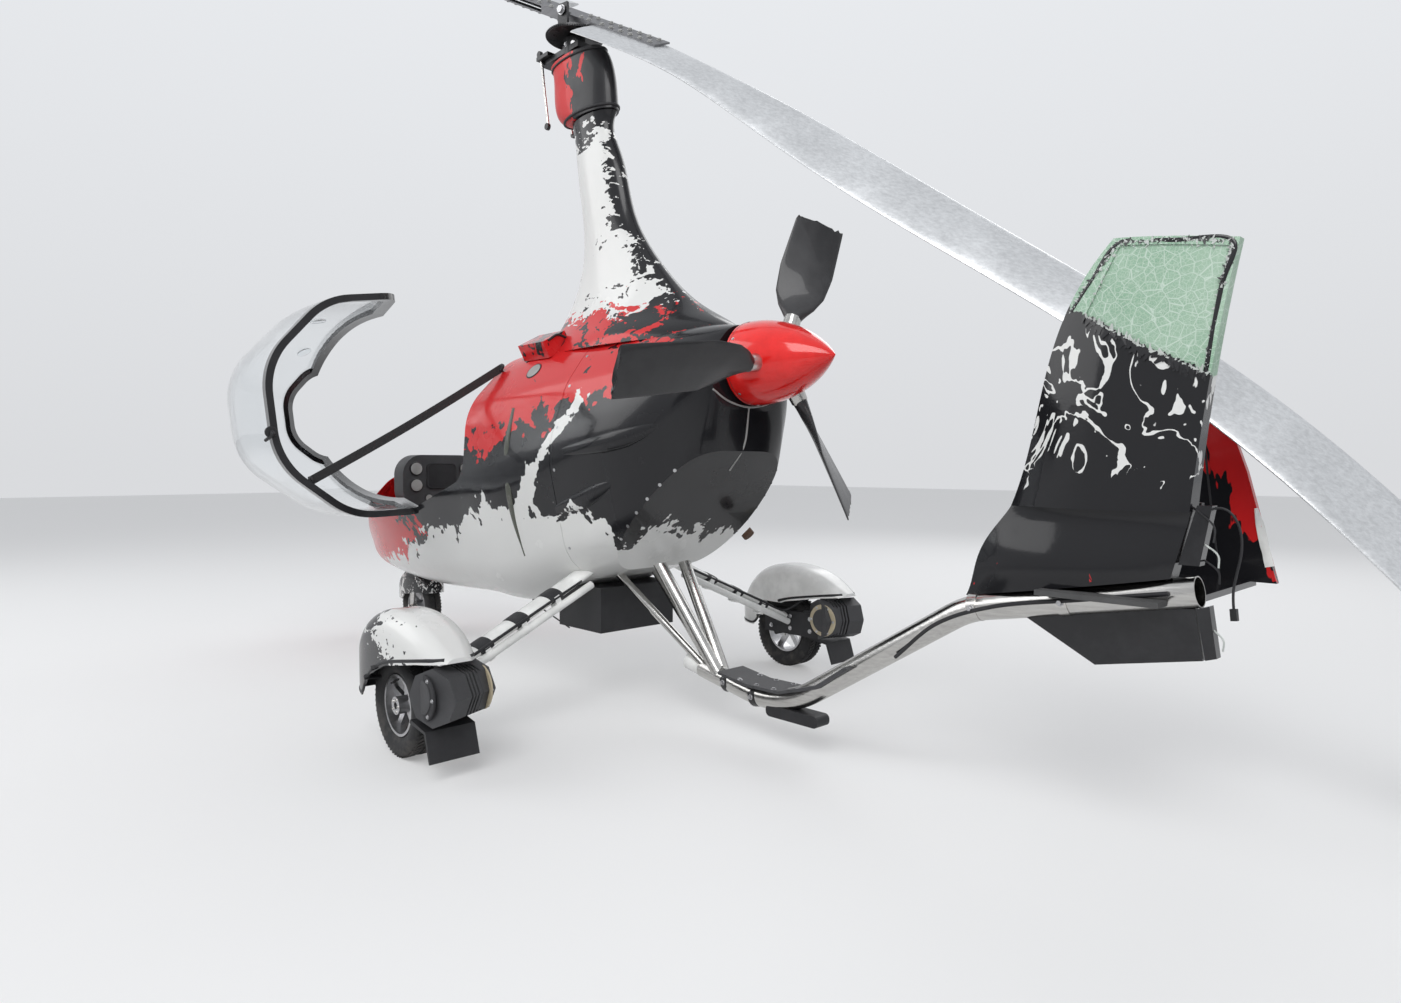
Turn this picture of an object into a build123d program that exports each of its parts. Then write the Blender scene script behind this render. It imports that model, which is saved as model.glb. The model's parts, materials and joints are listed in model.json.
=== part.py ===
from build123d import *
import os
from math import cos, radians, sin

# A two-seat gyrocopter, parked on its three wheels after an accident: its canopy stands open, one
# rotor blade is bent down over the tail, the propeller blades are snapped off short, and the rudder
# and the left half of the tailplane are gone. Millimetres; +X is forward, +Y is left, +Z is up, and
# the ground is at Z 0. Every place in this file is measured from the middle of the main axle, on the
# ground. The last step moves the whole aircraft so that the origin is under the middle of its box,
# which the open canopy widens to the left.
PARKED = (-581.0, -65.0, 0.0)
SKIN = 6.0
RUNNING = 0.05
GAP = 6.0
TOUCH = 0.5

# Wheels and landing gear
TYRE_R = 175.0
TYRE_W = 104.0
RIM_R = 104.0
SPOKES = 5
AXLE_R = 12.0
TOW_PIN_R = 9.0
TOW_PIN_L = 16.0
HALF_TRACK = 978.0
NOSE_AXLE_X = 1956.0
NOSE_TYRE_W = 90.0
STEER_X = 1930.0
STEER_POST_R = 22.0
LEG_ROOT = (15.0, 232.0, 560.0)
LEG_END = (-30.0, HALF_TRACK - 106.0, 262.0)
LEG_CHORD = 96.0
LEG_T = 40.0
LEG_TUBE_R = 15.0
LEG_TUBE_DROP = 48.0
PANT_WALL = 5.0
PANT_FLOOR = 100.0
# Wheel fairings. Columns: distance ahead of the axle, top, half width.
PANT = [
    (268, 225, 34),
    (240, 340, 66),
    (185, 418, 88),
    (90, 482, 102),
    (-30, 502, 106),
    (-140, 492, 104),
    (-240, 462, 94),
    (-320, 418, 74),
    (-364, 388, 48),
]
NOSE_PANT = [
    (205, 238, 28),
    (180, 305, 52),
    (110, 366, 70),
    (0, 388, 77),
    (-90, 372, 72),
    (-170, 330, 54),
    (-205, 290, 30),
]
# Lower edges of the fairings: distance ahead of the axle, and height.
PANT_LIP = [(400, 190), (160, 190), (120, 232), (60, 282), (-60, 330), (-250, 362), (-400, 378)]
NOSE_LIP = [(400, 205), (110, 205), (60, 240), (-120, 262), (-400, 270)]
ARM_Y = HALF_TRACK - 86.0
ARM_T = 34.0
POD_X = -292.0
POD_Z = 268.0
POD_R = 92.0
POD_L = 190.0
POD_FINS = 5

# Cabin and engine cowl: one outer form. Columns: x, bottom, belt height, top, half width, and the
# share of that half width which is left at the shoulder.
BODY = [
    (2330, 560, 606, 655, 50, 0.74),
    (2245, 480, 606, 760, 145, 0.78),
    (2000, 414, 665, 975, 290, 0.89),
    (1650, 392, 745, 1255, 395, 0.96),
    (1150, 382, 830, 1445, 450, 0.98),
    (650, 392, 910, 1468, 450, 0.96),
    (150, 478, 980, 1500, 432, 0.83),
    (-250, 600, 1090, 1495, 402, 0.75),
    (-480, 745, 1160, 1487, 352, 0.74),
    (-590, 930, 1235, 1478, 285, 0.74),
    (-650, 1172, 1322, 1470, 200, 0.74),
]
SHOULDER = 0.55
SHOULDER_CORNER = 0.6
BELLY_SHARE = 0.75
CROWN_SHARE = 0.42
BELLY_CORNER = 0.5
CROWN_CORNER = 0.62
BELT_SHARE = 0.7
COWL_X = 0.0
SEAM = 3.0
COWL_HOLE_R = 110.0
# The slanted lower panel of the cowl: two points of its plane, as x and z.
PANEL_TOP = (-572.0, 978.0)
PANEL_BOTTOM = (-252.0, 658.0)

# Cockpit opening, seen from the side: the sill and the rear corner, as x and z. The rear arch stands
# upright, so that the canopy swings clear of the shell behind it.
SILL_FRONT = (2060.0, 748.0)
SILL_REAR = (1060.0, 790.0)
CORNER = (604.0, 925.0)
CORNER_R = 110.0
ABOVE = 1600.0
FRAME_BAND = 46.0
FRAME_DEPTH = 26.0
# Canopy hinges. Columns: x, then how far its arm reaches out and up from the pin.
HINGES = [(1120.0, 27.0, 24.0), (1480.0, 14.0, 60.0)]
HINGE_Y = 472.0
HINGE_Z = 772.0
HINGE_R = 6.0
HINGE_L = 60.0
CANOPY_OPEN = 96.0
STRAP_ROOT = (560.0, 281.0, 1400.0)
STRAP_END = (640.0, 1062.0, 918.5)
STRAP_W = 34.0
STRAP_T = 3.0
# Scoop on the shoulder: its middle, its tilt and its size.
SCOOP_AT = (322.0, 218.0, 1476.0)
SCOOP_TILT = -28.0
SCOOP_SIZE = (190.0, 120.0, 70.0)

# Front and rear seat. Columns: x of the corner between back and pan, height of the pan.
SEATS = [(1190.0, 500.0), (590.0, 560.0)]
SEAT_HALF = 185.0
SEAT_T = 60.0
STICK_X = [1665.0, 1080.0]

# Engine and propeller
ENGINE_BOX = ((-380.0, -30.0), (-250.0, 250.0), (830.0, 1270.0))
PROP_X = -800.0
PROP_Z = 1335.0
SPINNER_R = 146.0
SPINNER_BASE = -672.0
SPINNER_TIP = -1036.0
SHANK_R = 28.0
HUB_R = 62.0
# Columns: angle from up towards the left, length of what is left of the blade.
PROP_BLADES = [(-22.7, 548.0), (97.3, 718.0), (217.3, 648.0)]
# Columns: distance from the hub, half chord, half thickness, pitch.
PROP_STATIONS = [(166, 28, 27, 58), (200, 58, 21, 55), (255, 86, 15, 49), (350, 96, 12, 39)]
PROP_END = (86.0, 8.0, 27.0)

# Mast fairing. Columns: height, front x, rear x, half width.
MAST = [
    (1440, 588, -600, 230),
    (1540, 496, -470, 170),
    (1640, 412, -310, 118),
    (1760, 345, -180, 88),
    (1880, 315, -75, 72),
    (2100, 335, 35, 62),
    (2280, 365, 96, 58),
    (2450, 400, 122, 56),
]
# Boot round the head of the mast, with the same columns.
BOOT = [(2453, 412, 112, 66), (2510, 505, 118, 72), (2640, 535, 142, 68), (2742, 562, 212, 62)]

# Rotor
HEAD_X = 400.0
HEAD_Z = 2832.0
RING_R = 122.0
SPINDLE_R = 20.0
SPINDLE_L = 40.0
TEETER_Z = 2925.0
ROTOR_R = 4200.0
BEARING = 10.0
BAR_SLOPE = 29.0
BAR_ROLL = 27.0
BAR_REACH = 560.0
BAR_W = 84.0
STRAP_PLATE = 7.0
CHORD = 212.0
BLADE_T = 24.0
BLADE_BACK = 64.0
ROOT_CUT = 185.0
# The bent blade beyond its root. Columns: distance from the head, height, sideways, roll.
BENT = [
    (1150, 2165, 45, 42),
    (1860, 1640, 30, 44),
    (2470, 1172, 15, 43),
    (2860, 778, 0, 43),
    (3270, 330, -10, 43),
]

# Keel tube, as x and z of its corners
KEEL_R = 38.0
KEEL_WALL = 3.0
KEEL = [(-420.0, 214.0), (-820.0, 138.0), (-1520.0, 572.0), (-2115.0, 680.0)]
KEEL_BENDS = [420.0, 330.0]
PLUG_L = 78.0
# Struts from the belly to the keel's front end. Columns: x, side, z, radius, x on the keel.
KEEL_STRUTS = [(-10.0, 95.0, 548.0, 15.0, -462.0), (-205.0, 70.0, 640.0, 24.0, -520.0)]

# Tail fin above its fold, and its drawn-in foot. Columns: height, front x, rear x, half thickness.
FIN = [
    (868, -1642, -2098, 55),
    (1100, -1708, -2122, 44),
    (1360, -1780, -2160, 34),
    (1545, -1905, -2196, 24),
]
FIN_FOOT = [
    (600, -1505, -2035, 34),
    (690, -1535, -2055, 50),
    (770, -1568, -2074, 44),
    (840, -1622, -2091, 33),
    (869, -1643, -2098, 36),
]
# The fin's top falls towards the back: two points of it, as x and z.
FIN_TOP = [(-1880.0, 1546.0), (-2230.0, 1482.0)]
# Where the left skin of the fin is torn off, as x and z, and how deep the hole and the laminate lie.
TORN = [
    (-1842, 1355),
    (-1900, 1318),
    (-1985, 1262),
    (-2050, 1230),
    (-2128, 1186),
    (-2152, 1400),
    (-2166, 1474),
    (-1922, 1519),
]
TORN_DEPTH = 9.0
LAMINATE_DEPTH = 4.0
SIDE_FIN_Y = -520.0
SIDE_FIN_T = 22.0
SIDE_FIN = [(-1690, 655), (-1760, 1000), (-1850, 1122), (-2020, 1112), (-2072, 960), (-2150, 655)]
VENTRAL = [(-1660, 588), (-1880, 470), (-2128, 520), (-2108, 640)]

# The loose cable at the tail, from its bracket to its plug: x, y, z.
CABLE_R = 3.0
CABLE = [
    (-2104, -48, 867),
    (-2132, -52, 880),
    (-2162, -55, 868),
    (-2182, -56, 828),
    (-2186, -54, 775),
    (-2176, -50, 720),
    (-2170, -46, 676),
    (-2174, -44, 642),
]


def section(x, bottom, belt, top, half, share, inset=0.0):
    """One cross-section of the cabin at x: eight straight sides with rounded corners."""
    half, bottom, top = half - inset, bottom + inset, top - inset
    belly, crown = BELLY_SHARE * half, CROWN_SHARE * half
    bend = (share * half, belt + SHOULDER * (top - belt))
    right = [(belly, bottom), (half, belt), bend, (crown, top)]
    outline = right + [(-y, z) for y, z in reversed(right)]
    face = make_face(Polyline(*outline, close=True))
    low = [v for v in face.vertices() if abs(v.Y - bottom) < 1e-3]
    face = fillet(low, BELLY_CORNER * half)
    high = [v for v in face.vertices() if abs(v.Y - top) < 1e-3 and abs(abs(v.X) - crown) < 1e-3]
    face = fillet(high, CROWN_CORNER * half)
    bends = [v for v in face.vertices() if abs(v.Y - bend[1]) < 1e-3 and abs(abs(v.X) - bend[0]) < 1e-3]
    face = fillet(bends, SHOULDER_CORNER * half)
    sides = [v for v in face.vertices() if abs(v.Y - belt) < 1e-3 and abs(abs(v.X) - half) < 1e-3]
    face = fillet(sides, BELT_SHARE * half)
    return Plane(origin=(x, 0, 0), x_dir=(0, 1, 0), z_dir=(1, 0, 0)) * face


def body_form(inset=0.0):
    """The cabin and cowl as one solid, drawn in by inset all round."""
    rows = []
    for x, bottom, belt, top, half, share in BODY:
        ends = {BODY[0][0]: x - inset, BODY[-1][0]: x + inset}
        rows.append(section(ends.get(x, x), bottom, belt, top, half, share, inset))
    return loft(rows)


def slab(outline, half, y=0.0):
    """A flat outline of x and z points, as thick as twice half, standing at y."""
    face = Plane.XZ.offset(-y) * make_face(Polyline(*outline, close=True))
    return extrude(face, amount=half, both=True)


def rod(start, end, radius):
    """A round bar from start to end."""
    a, b = Vector(*start), Vector(*end)
    plane = Plane(origin=a, z_dir=(b - a).normalized())
    return extrude(plane * Circle(radius), amount=(b - a).length)


def across(x, y, z, radius, length):
    """A round bar that lies across the aircraft."""
    return Pos(x, y, z) * Rot(90, 0, 0) * Cylinder(radius, length)


def along(x, y, z, radius, length):
    """A round bar that lies fore and aft."""
    return Pos(x, y, z) * Rot(0, 90, 0) * Cylinder(radius, length)


def mirrored(shape):
    """The same piece on the right-hand side."""
    return mirror(shape, Plane.XZ)


def below_panel(inset=0.0):
    """Everything behind and below the slanted panel of the cowl, moved inwards by inset."""
    reach = 400.0
    shift = inset * 2**0.5
    top = (PANEL_TOP[0] + shift - reach, PANEL_TOP[1] + reach)
    low = (PANEL_BOTTOM[0] + shift + reach, PANEL_BOTTOM[1] - reach)
    return slab([top, low, (top[0], low[1])], 600)


def cockpit_outline():
    """The side outline of the canopy, from the sill up the rear arch and over the top."""
    around = [SILL_FRONT, SILL_REAR, CORNER, (CORNER[0], ABOVE), (SILL_FRONT[0], ABOVE)]
    face = make_face(Polyline(*around, close=True))
    corner = [v for v in face.vertices() if abs(v.X - CORNER[0]) < 1 and abs(v.Y - CORNER[1]) < 1]
    return fillet(corner, CORNER_R)


def turned(shape, angle=-CANOPY_OPEN):
    """Turns a closed piece of the canopy about its hinge line, out to where it stands open."""
    return shape.rotate(Axis((0, HINGE_Y, HINGE_Z), (1, 0, 0)), angle)


def cabin(outer):
    """The cabin shell, engine cowl and firewall, and the open canopy's frame and bubble."""
    inner = body_form(SKIN)
    shell = (outer - below_panel()) - (inner - below_panel(SKIN))
    opening = cockpit_outline()
    wide = 600.0
    mouth = extrude(Plane.XZ * opening, amount=wide, both=True)
    hood = extrude(Plane.XZ * offset(opening, -GAP), amount=wide, both=True)
    pane = extrude(Plane.XZ * offset(opening, -GAP - FRAME_BAND), amount=wide, both=True)
    front = Pos(1500 + COWL_X + SEAM / 2, 0, 1000) * Box(3000, 1600, 2000)
    back = Pos(COWL_X - SEAM / 2 - 500, 0, 1000) * Box(1000, 1600, 2000)
    tub = (shell & front) - mouth
    tub -= Pos(STEER_X, 0, 400) * Cylinder(STEER_POST_R + RUNNING, 120)
    cowl = (shell & back) - along(BODY[-1][0], 0, PROP_Z, COWL_HOLE_R, 120)
    bubble = shell & hood
    rim = ((outer - body_form(FRAME_DEPTH)) & hood) - pane
    return {
        "fuselage_shell": tub,
        "engine_cowl": cowl,
        "firewall": inner & (Pos(COWL_X + 12, 0, 1000) * Box(4, 1600, 2000)),
        "canopy_frame": turned(rim),
        "canopy_glass": turned(bubble & pane),
    }


def hinges():
    """Brackets with pins on the left sill, and the canopy's arms that turn on them."""
    brackets, arms = Part(), Part()
    knuckle_l = HINGE_L - 26
    for x, out, up in HINGES:
        brackets += along(x, HINGE_Y, HINGE_Z, HINGE_R, HINGE_L)
        brackets += Pos(x - HINGE_L / 2 + 5, HINGE_Y - 42, HINGE_Z - 6) * Box(10, 100, 16)
        arm = along(x + 8, HINGE_Y, HINGE_Z, HINGE_R + 5, knuckle_l)
        arm += rod((x + 8, HINGE_Y, HINGE_Z), (x + 8, HINGE_Y + out, HINGE_Z + up), HINGE_R)
        arms += arm - along(x, HINGE_Y, HINGE_Z, HINGE_R + RUNNING, 2 * HINGE_L)
    return brackets, arms


def seat(x, z):
    """A seat pan and back, seen from the side as one bent board."""
    lean, rise, pan = 150.0, 520.0, 400.0
    outline = [
        (x + pan, z - SEAT_T / 2),
        (x + pan, z + SEAT_T / 2),
        (x + SEAT_T, z + SEAT_T / 2),
        (x - lean + SEAT_T, z + rise),
        (x - lean, z + rise),
        (x, z - SEAT_T / 2),
    ]
    return slab(outline, SEAT_HALF)


def cabin_fittings():
    """Two seats, the instrument pod and the two control sticks."""
    front, rear = [seat(x, z) for x, z in SEATS]
    fittings = {"seat_front": front, "seat_rear": rear}
    pod = Pos(1750, 0, 885) * Box(110, 440, 300)
    pod = fillet(pod.edges().filter_by(Axis.X), 110)
    fittings["instrument_pod"] = pod + Pos(1760, 0, 580) * Box(90, 110, 330)
    sticks = Part()
    for x in STICK_X:
        sticks += rod((x, 0, 430), (x - 60, 0, 690), 10)
        sticks += rod((x - 60, 0, 690), (x - 85, 0, 790), 17)
    fittings["control_sticks"] = sticks
    return fittings


def lofted_ovals(rows):
    """A smooth column through flat ovals: height, front x, rear x, half width."""
    faces = []
    for z, x_front, x_rear, half in rows:
        faces.append(Pos((x_front + x_rear) / 2, 0, z) * Ellipse((x_front - x_rear) / 2, half))
    return loft(faces)


def mast(outer):
    """The mast's fairing, the boot at its top, and the rotor head's fixed base with its push rods."""
    low, high = BOOT[-1][0], HEAD_Z - GAP
    base = Pos(HEAD_X, 0, (low + high) / 2) * Cylinder(46, high - low)
    base += Pos(HEAD_X + 60, 0, low + 34) * Box(280, 84, 24)
    base += Pos(HEAD_X + 160, 0, low + 50) * Box(90, 130, 16)
    base -= Pos(HEAD_X, 0, high) * Cylinder(SPINDLE_R + RUNNING, 2 * SPINDLE_L)
    rods = Part()
    for y in (-50, 50):
        rods += rod((592, y, 2812), (512, y * 1.3, 2470), 7)
    return {
        "mast_fairing": lofted_ovals(MAST) - outer,
        "mast_boot": lofted_ovals(BOOT),
        "rotor_head_base": base - rods,
        "control_rods": rods,
    }


def bar_frame(roll=BAR_ROLL):
    """The rotor's own directions at the head: out along the bent blade, across its chord, and up."""
    slope, turn = radians(BAR_SLOPE), radians(BEARING)
    out = Vector(-cos(turn) * cos(slope), -sin(turn) * cos(slope), -sin(slope))
    level = Vector(sin(turn), -cos(turn), 0)
    rise = Vector(-cos(turn) * sin(slope), -sin(turn) * sin(slope), cos(slope))
    return out, level * cos(radians(roll)) + rise * sin(radians(roll))


def blade_section(centre, out, across_chord, taper=1.0):
    """A flat oval across a rotor blade."""
    plane = Plane(origin=centre, x_dir=across_chord, z_dir=out)
    return plane * Ellipse(CHORD / 2 * taper, BLADE_T / 2 * taper)


def rotor():
    """Ring gear with the teeter tower, the hub bar, and the straight and the bent blade."""
    hub = Vector(HEAD_X, 0, TEETER_Z)
    out, chord = bar_frame()
    bar_plane = Plane(origin=hub, x_dir=out, z_dir=out.cross(chord))
    sheet = BLADE_T / 2 + STRAP_PLATE / 2 + TOUCH / 2
    length = 2 * ROOT_CUT - 4
    bar = bar_plane * Box(length, BAR_W, BLADE_T + TOUCH)
    for side in (-1, 1):
        bar += bar_plane * Pos(0, 0, side * sheet) * Box(2 * BAR_REACH, BAR_W, STRAP_PLATE)
    level = Vector(sin(radians(BEARING)), -cos(radians(BEARING)), 0)
    tower = Pos(HEAD_X, 0, HEAD_Z + 6) * Cylinder(RING_R, 12)
    tower -= bar_plane * Box(2 * BAR_REACH, BAR_W + 14, BLADE_T + 2 * STRAP_PLATE + 14)
    tower += Pos(HEAD_X, 0, HEAD_Z - SPINDLE_L / 2 + 2) * Cylinder(SPINDLE_R, SPINDLE_L)
    for side in (-1, 1):
        cheek = Plane(origin=(HEAD_X, 0, 0), x_dir=(cos(radians(BEARING)), sin(radians(BEARING)), 0))
        post = cheek * Pos(0, side * 68, (HEAD_Z + TEETER_Z + 30) / 2 + 5) * Box(56, 12, TEETER_Z - HEAD_Z + 22)
        tower += post
    bolt = rod(tuple(hub + level * 80), tuple(hub - level * 80), 9)
    tower += bolt
    bar -= rod(tuple(hub + level * 80), tuple(hub - level * 80), 9 + RUNNING)
    straight_root = hub - out * ROOT_CUT + chord * BLADE_BACK
    straight_tip = hub - out * ROTOR_R + chord * BLADE_BACK
    straight = loft([blade_section(straight_root, out, chord), blade_section(straight_tip, out, chord)])
    turn = radians(BEARING)
    places = []
    for reach in (ROOT_CUT, BAR_REACH + 20):
        places.append((hub + out * reach - chord * BLADE_BACK, BAR_ROLL))
    for reach, z, aside, roll in BENT:
        x = HEAD_X - reach * cos(turn) + aside * sin(turn)
        y = -reach * sin(turn) + aside * cos(turn)
        places.append((Vector(x, y, z), roll))
    rows = []
    for i, (centre, roll) in enumerate(places):
        before, after = places[max(i - 1, 0)][0], places[min(i + 1, len(places) - 1)][0]
        run = (after - before).normalized() if i > 1 else out
        side = Vector(-run.Y, run.X, 0).normalized()
        rise = run.cross(side)
        rise = rise if rise.Z > 0 else rise * -1
        side = side if side.Y < 0 else side * -1
        rows.append(blade_section(centre, run, side * cos(radians(roll)) + rise * sin(radians(roll))))
    return {
        "teeter_tower": tower,
        "hub_bar": bar,
        "rotor_blade_straight": straight,
        "rotor_blade_bent": loft(rows) - bar,
    }


def paddle_section(r, half_chord, half_t, pitch):
    """A twelve-sided flat oval across a propeller blade that points up."""
    corners = []
    for k in range(12):
        turn = radians(30 * k + 15)
        corners.append((half_chord * cos(turn), half_t * sin(turn)))
    chord = (sin(radians(pitch)), cos(radians(pitch)), 0)
    return Plane(origin=(0, 0, r), x_dir=chord, z_dir=(0, 0, 1)) * make_face(Polyline(*corners, close=True))


def propeller():
    """The spinner with its hub, and three blades snapped off short."""
    base, tip = SPINNER_BASE, SPINNER_TIP
    shoulder = (base - 0.45 * (base - tip), 0.86 * SPINNER_R)
    profile = ThreePointArc((base, SPINNER_R), shoulder, (tip, 0))
    profile += Polyline((tip, 0), (base, 0), (base, SPINNER_R))
    nose = revolve(Plane.XZ * make_face(profile), Axis.X)
    cone = Pos(0, 0, PROP_Z) * nose
    cone += along(base + 8, 0, PROP_Z, HUB_R, 18)
    blades = Part()
    for angle, reach in PROP_BLADES:
        rows = [paddle_section(*row) for row in PROP_STATIONS + [(reach, *PROP_END)]]
        blade = loft(rows, ruled=True) + Pos(0, 0, 118) * Cylinder(SHANK_R, 100)
        place = Pos(PROP_X, 0, PROP_Z) * Rot(-angle, 0, 0)
        blades += place * blade
        cone -= place * Pos(0, 0, 168) * Cylinder(SHANK_R + TOUCH, 202)
    return {"spinner": cone, "propeller_blades": blades}


def wheel(x, y, width):
    """A tyre and its spoked rim on a bored hub, standing at y."""
    half = width / 2
    tyre = across(x, y, TYRE_R, TYRE_R, width)
    tyre = fillet(tyre.edges(), 0.36 * width)
    tyre -= across(x, y, TYRE_R, RIM_R, width + 2)
    rim = across(x, y, TYRE_R, RIM_R, 0.72 * width) - across(x, y, TYRE_R, RIM_R - 9, width)
    rim += across(x, y, TYRE_R, 30, 0.86 * width)
    for i in range(SPOKES):
        angle = 360 / SPOKES * i
        rim += Pos(x, y, TYRE_R) * Rot(0, angle, 0) * Pos(0, 0, 61) * Box(24, 16, 72)
    rim -= across(x, y, TYRE_R, AXLE_R + RUNNING, width + 2)
    return tyre, rim


def pant(x, y, rows, lip, floor):
    """A thin wheel fairing that is open below: rows are x, top and half width, lip is its lower edge."""
    def form(inset):
        faces = []
        for ahead, top, half in rows:
            if ahead == rows[0][0]:
                ahead -= inset
            if ahead == rows[-1][0]:
                ahead += inset
            height, width = top - inset - floor, 2 * (half - inset)
            face = Rectangle(width, height, align=(Align.CENTER, Align.MIN))
            high = face.vertices().sort_by(Axis.Y)[-2:]
            face = fillet(high, min(0.7 * width / 2, 0.8 * height))
            faces.append(Plane(origin=(x + ahead, y, floor), x_dir=(0, 1, 0), z_dir=(1, 0, 0)) * face)
        return loft(faces)
    edge = [(x + a, z) for a, z in lip]
    away = slab([(edge[0][0], floor - 60), *edge, (edge[-1][0], floor - 60)], 300, y)
    return form(0) - form(PANT_WALL) - away


def main_gear():
    """The left wheel with its leg, arm, fairing, finned pod and mudflap, and the same on the right."""
    y = HALF_TRACK
    run = Vector(*LEG_END) - Vector(*LEG_ROOT)
    leg_plane = Plane(origin=LEG_ROOT, x_dir=(1, 0, 0), z_dir=run.normalized())
    length = run.length
    leg = extrude(leg_plane * Ellipse(LEG_CHORD / 2, LEG_T / 2), amount=length)
    low_root = (LEG_ROOT[0] - 50, LEG_ROOT[1] + 10, LEG_ROOT[2] - LEG_TUBE_DROP)
    low_end = (LEG_END[0] - 50, LEG_END[1], LEG_END[2] - LEG_TUBE_DROP + 22)
    tube = rod(low_root, low_end, LEG_TUBE_R)
    for share in (0.28, 0.52, 0.76):
        tube += leg_plane * Pos(-27, 20, share * length) * Box(46, 56, 24)
    arm = Pos(-95, ARM_Y, 232) * Box(330, ARM_T, 112)
    arm += across(0, (y + ARM_Y) / 2 + 8, TYRE_R, AXLE_R, y - ARM_Y + 50)
    tyre, rim = wheel(0, y, TYRE_W)
    cover = pant(0, y, PANT, PANT_LIP, PANT_FLOOR)
    cover -= Pos(-60, ARM_Y - 20, 200) * Box(340, 90, 240)
    drum = extrude(RegularPolygon(POD_R, 8), amount=POD_L / 2, both=True)
    pod = Pos(POD_X, y - 14, POD_Z) * Rot(90, 22.5, 0) * drum
    for i in range(POD_FINS):
        ring = Pos(POD_X, y - 60 + 17 * i, POD_Z) * Rot(90, 22.5, 0)
        pod -= ring * extrude(RegularPolygon(POD_R + 20, 8) - RegularPolygon(POD_R - 12, 8), amount=8)
    arm += Pos(-232, ARM_Y - 4, 268) * Box(120, 22, 60)
    cover -= Pos(POD_X, y - 14, POD_Z) * Rot(90, 0, 0) * Cylinder(POD_R + 4, POD_L + 4)
    flap = slab([(-196, 178), (-300, 160), (-330, 66), (-322, 64), (-290, 152), (-190, 166)], 84, y)
    pieces = {
        "gear_leg": leg + tube,
        "wheel_arm": arm - pod,
        "wheel_pant": cover,
        "finned_pod": pod,
        "mudflap": flap - pod - arm,
        "main_tyre": tyre,
        "main_rim": rim,
    }
    both = {}
    for name, shape in pieces.items():
        both[name + "_left"] = shape
        both[name + "_right"] = mirrored(shape)
    return both


def nose_gear():
    """The steered nose wheel: fork, fairing, tyre and rim."""
    x, half = NOSE_AXLE_X, NOSE_TYRE_W / 2
    tyre, rim = wheel(x, 0, NOSE_TYRE_W)
    fork = Pos(STEER_X, 0, 425) * Cylinder(STEER_POST_R, 90)
    fork += Pos(STEER_X, 0, 376) * Box(84, 2 * half + 36, 12)
    for side in (-1, 1):
        fork += slab(
            [(STEER_X - 36, 380), (STEER_X + 36, 380), (x + 18, TYRE_R - 16), (x - 18, TYRE_R - 16)],
            5,
            side * (half + 12),
        )
    fork += across(x, 0, TYRE_R, AXLE_R, 2 * half + 36)
    fork += across(x, 0, TYRE_R, TOW_PIN_R, 2 * half + 36 + 2 * TOW_PIN_L)
    cover = pant(x, 0, NOSE_PANT, NOSE_LIP, PANT_FLOOR)
    cover -= Pos(STEER_X, 0, 380) * Box(90, 2 * half + 40, 60)
    return {"nose_fork": fork, "nose_pant": cover, "nose_tyre": tyre, "nose_rim": rim}


def keel():
    """The bent keel tube with its plug, struts, top leaf and skid."""
    path = FilletPolyline(*[(x, 0, z) for x, z in KEEL], radius=KEEL_BENDS)
    start = Plane(origin=path @ 0, z_dir=path % 0)
    tube = sweep(start * Circle(KEEL_R), path=path) - sweep(start * Circle(KEEL_R - KEEL_WALL), path=path)
    ahead = (Vector(KEEL[0][0], 0, KEEL[0][1]) - Vector(KEEL[1][0], 0, KEEL[1][1])).normalized()
    first = Vector(KEEL[0][0], 0, KEEL[0][1])
    plug = rod(tuple(first), tuple(first + ahead * PLUG_L), KEEL_R - 2)
    solid_tube = sweep(start * Circle(KEEL_R), path=path)
    struts = Part()
    for x, side, z, radius, foot_x in KEEL_STRUTS:
        foot_z = KEEL[0][1] + (foot_x - KEEL[0][0]) * (KEEL[1][1] - KEEL[0][1]) / (KEEL[1][0] - KEEL[0][0])
        for y in (-side, side):
            struts += rod((x, y, z), (foot_x, y / side * 12, foot_z), radius)
    struts -= solid_tube + plug
    leaf = slab(
        [(-560, 232), (-700, 212), (-850, 214), (-1010, 262), (-1130, 345), (-1140, 338), (-1016, 252), (-852, 204),
         (-700, 202), (-560, 222)],
        66,
    ) - solid_tube
    skid = Pos(-880, 0, 128) * Box(230, 64, 40)
    skid = fillet(skid.edges().filter_by(Axis.Y), 18) - solid_tube
    pieces = {"keel_tube": tube, "keel_plug": plug, "keel_struts": struts, "keel_leaf": leaf, "keel_skid": skid}
    return pieces, solid_tube


def fin_section(z, x_front, x_rear, half):
    """A flat-backed slice of the fin."""
    middle = (0.62 * x_front + 0.38 * x_rear, half)
    back = 0.55 * half
    left = ThreePointArc((x_front, 0), middle, (x_rear, back))
    right = ThreePointArc((x_rear, -back), (middle[0], -half), (x_front, 0))
    return Pos(0, 0, z) * make_face(left + Line((x_rear, back), (x_rear, -back)) + right)


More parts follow.
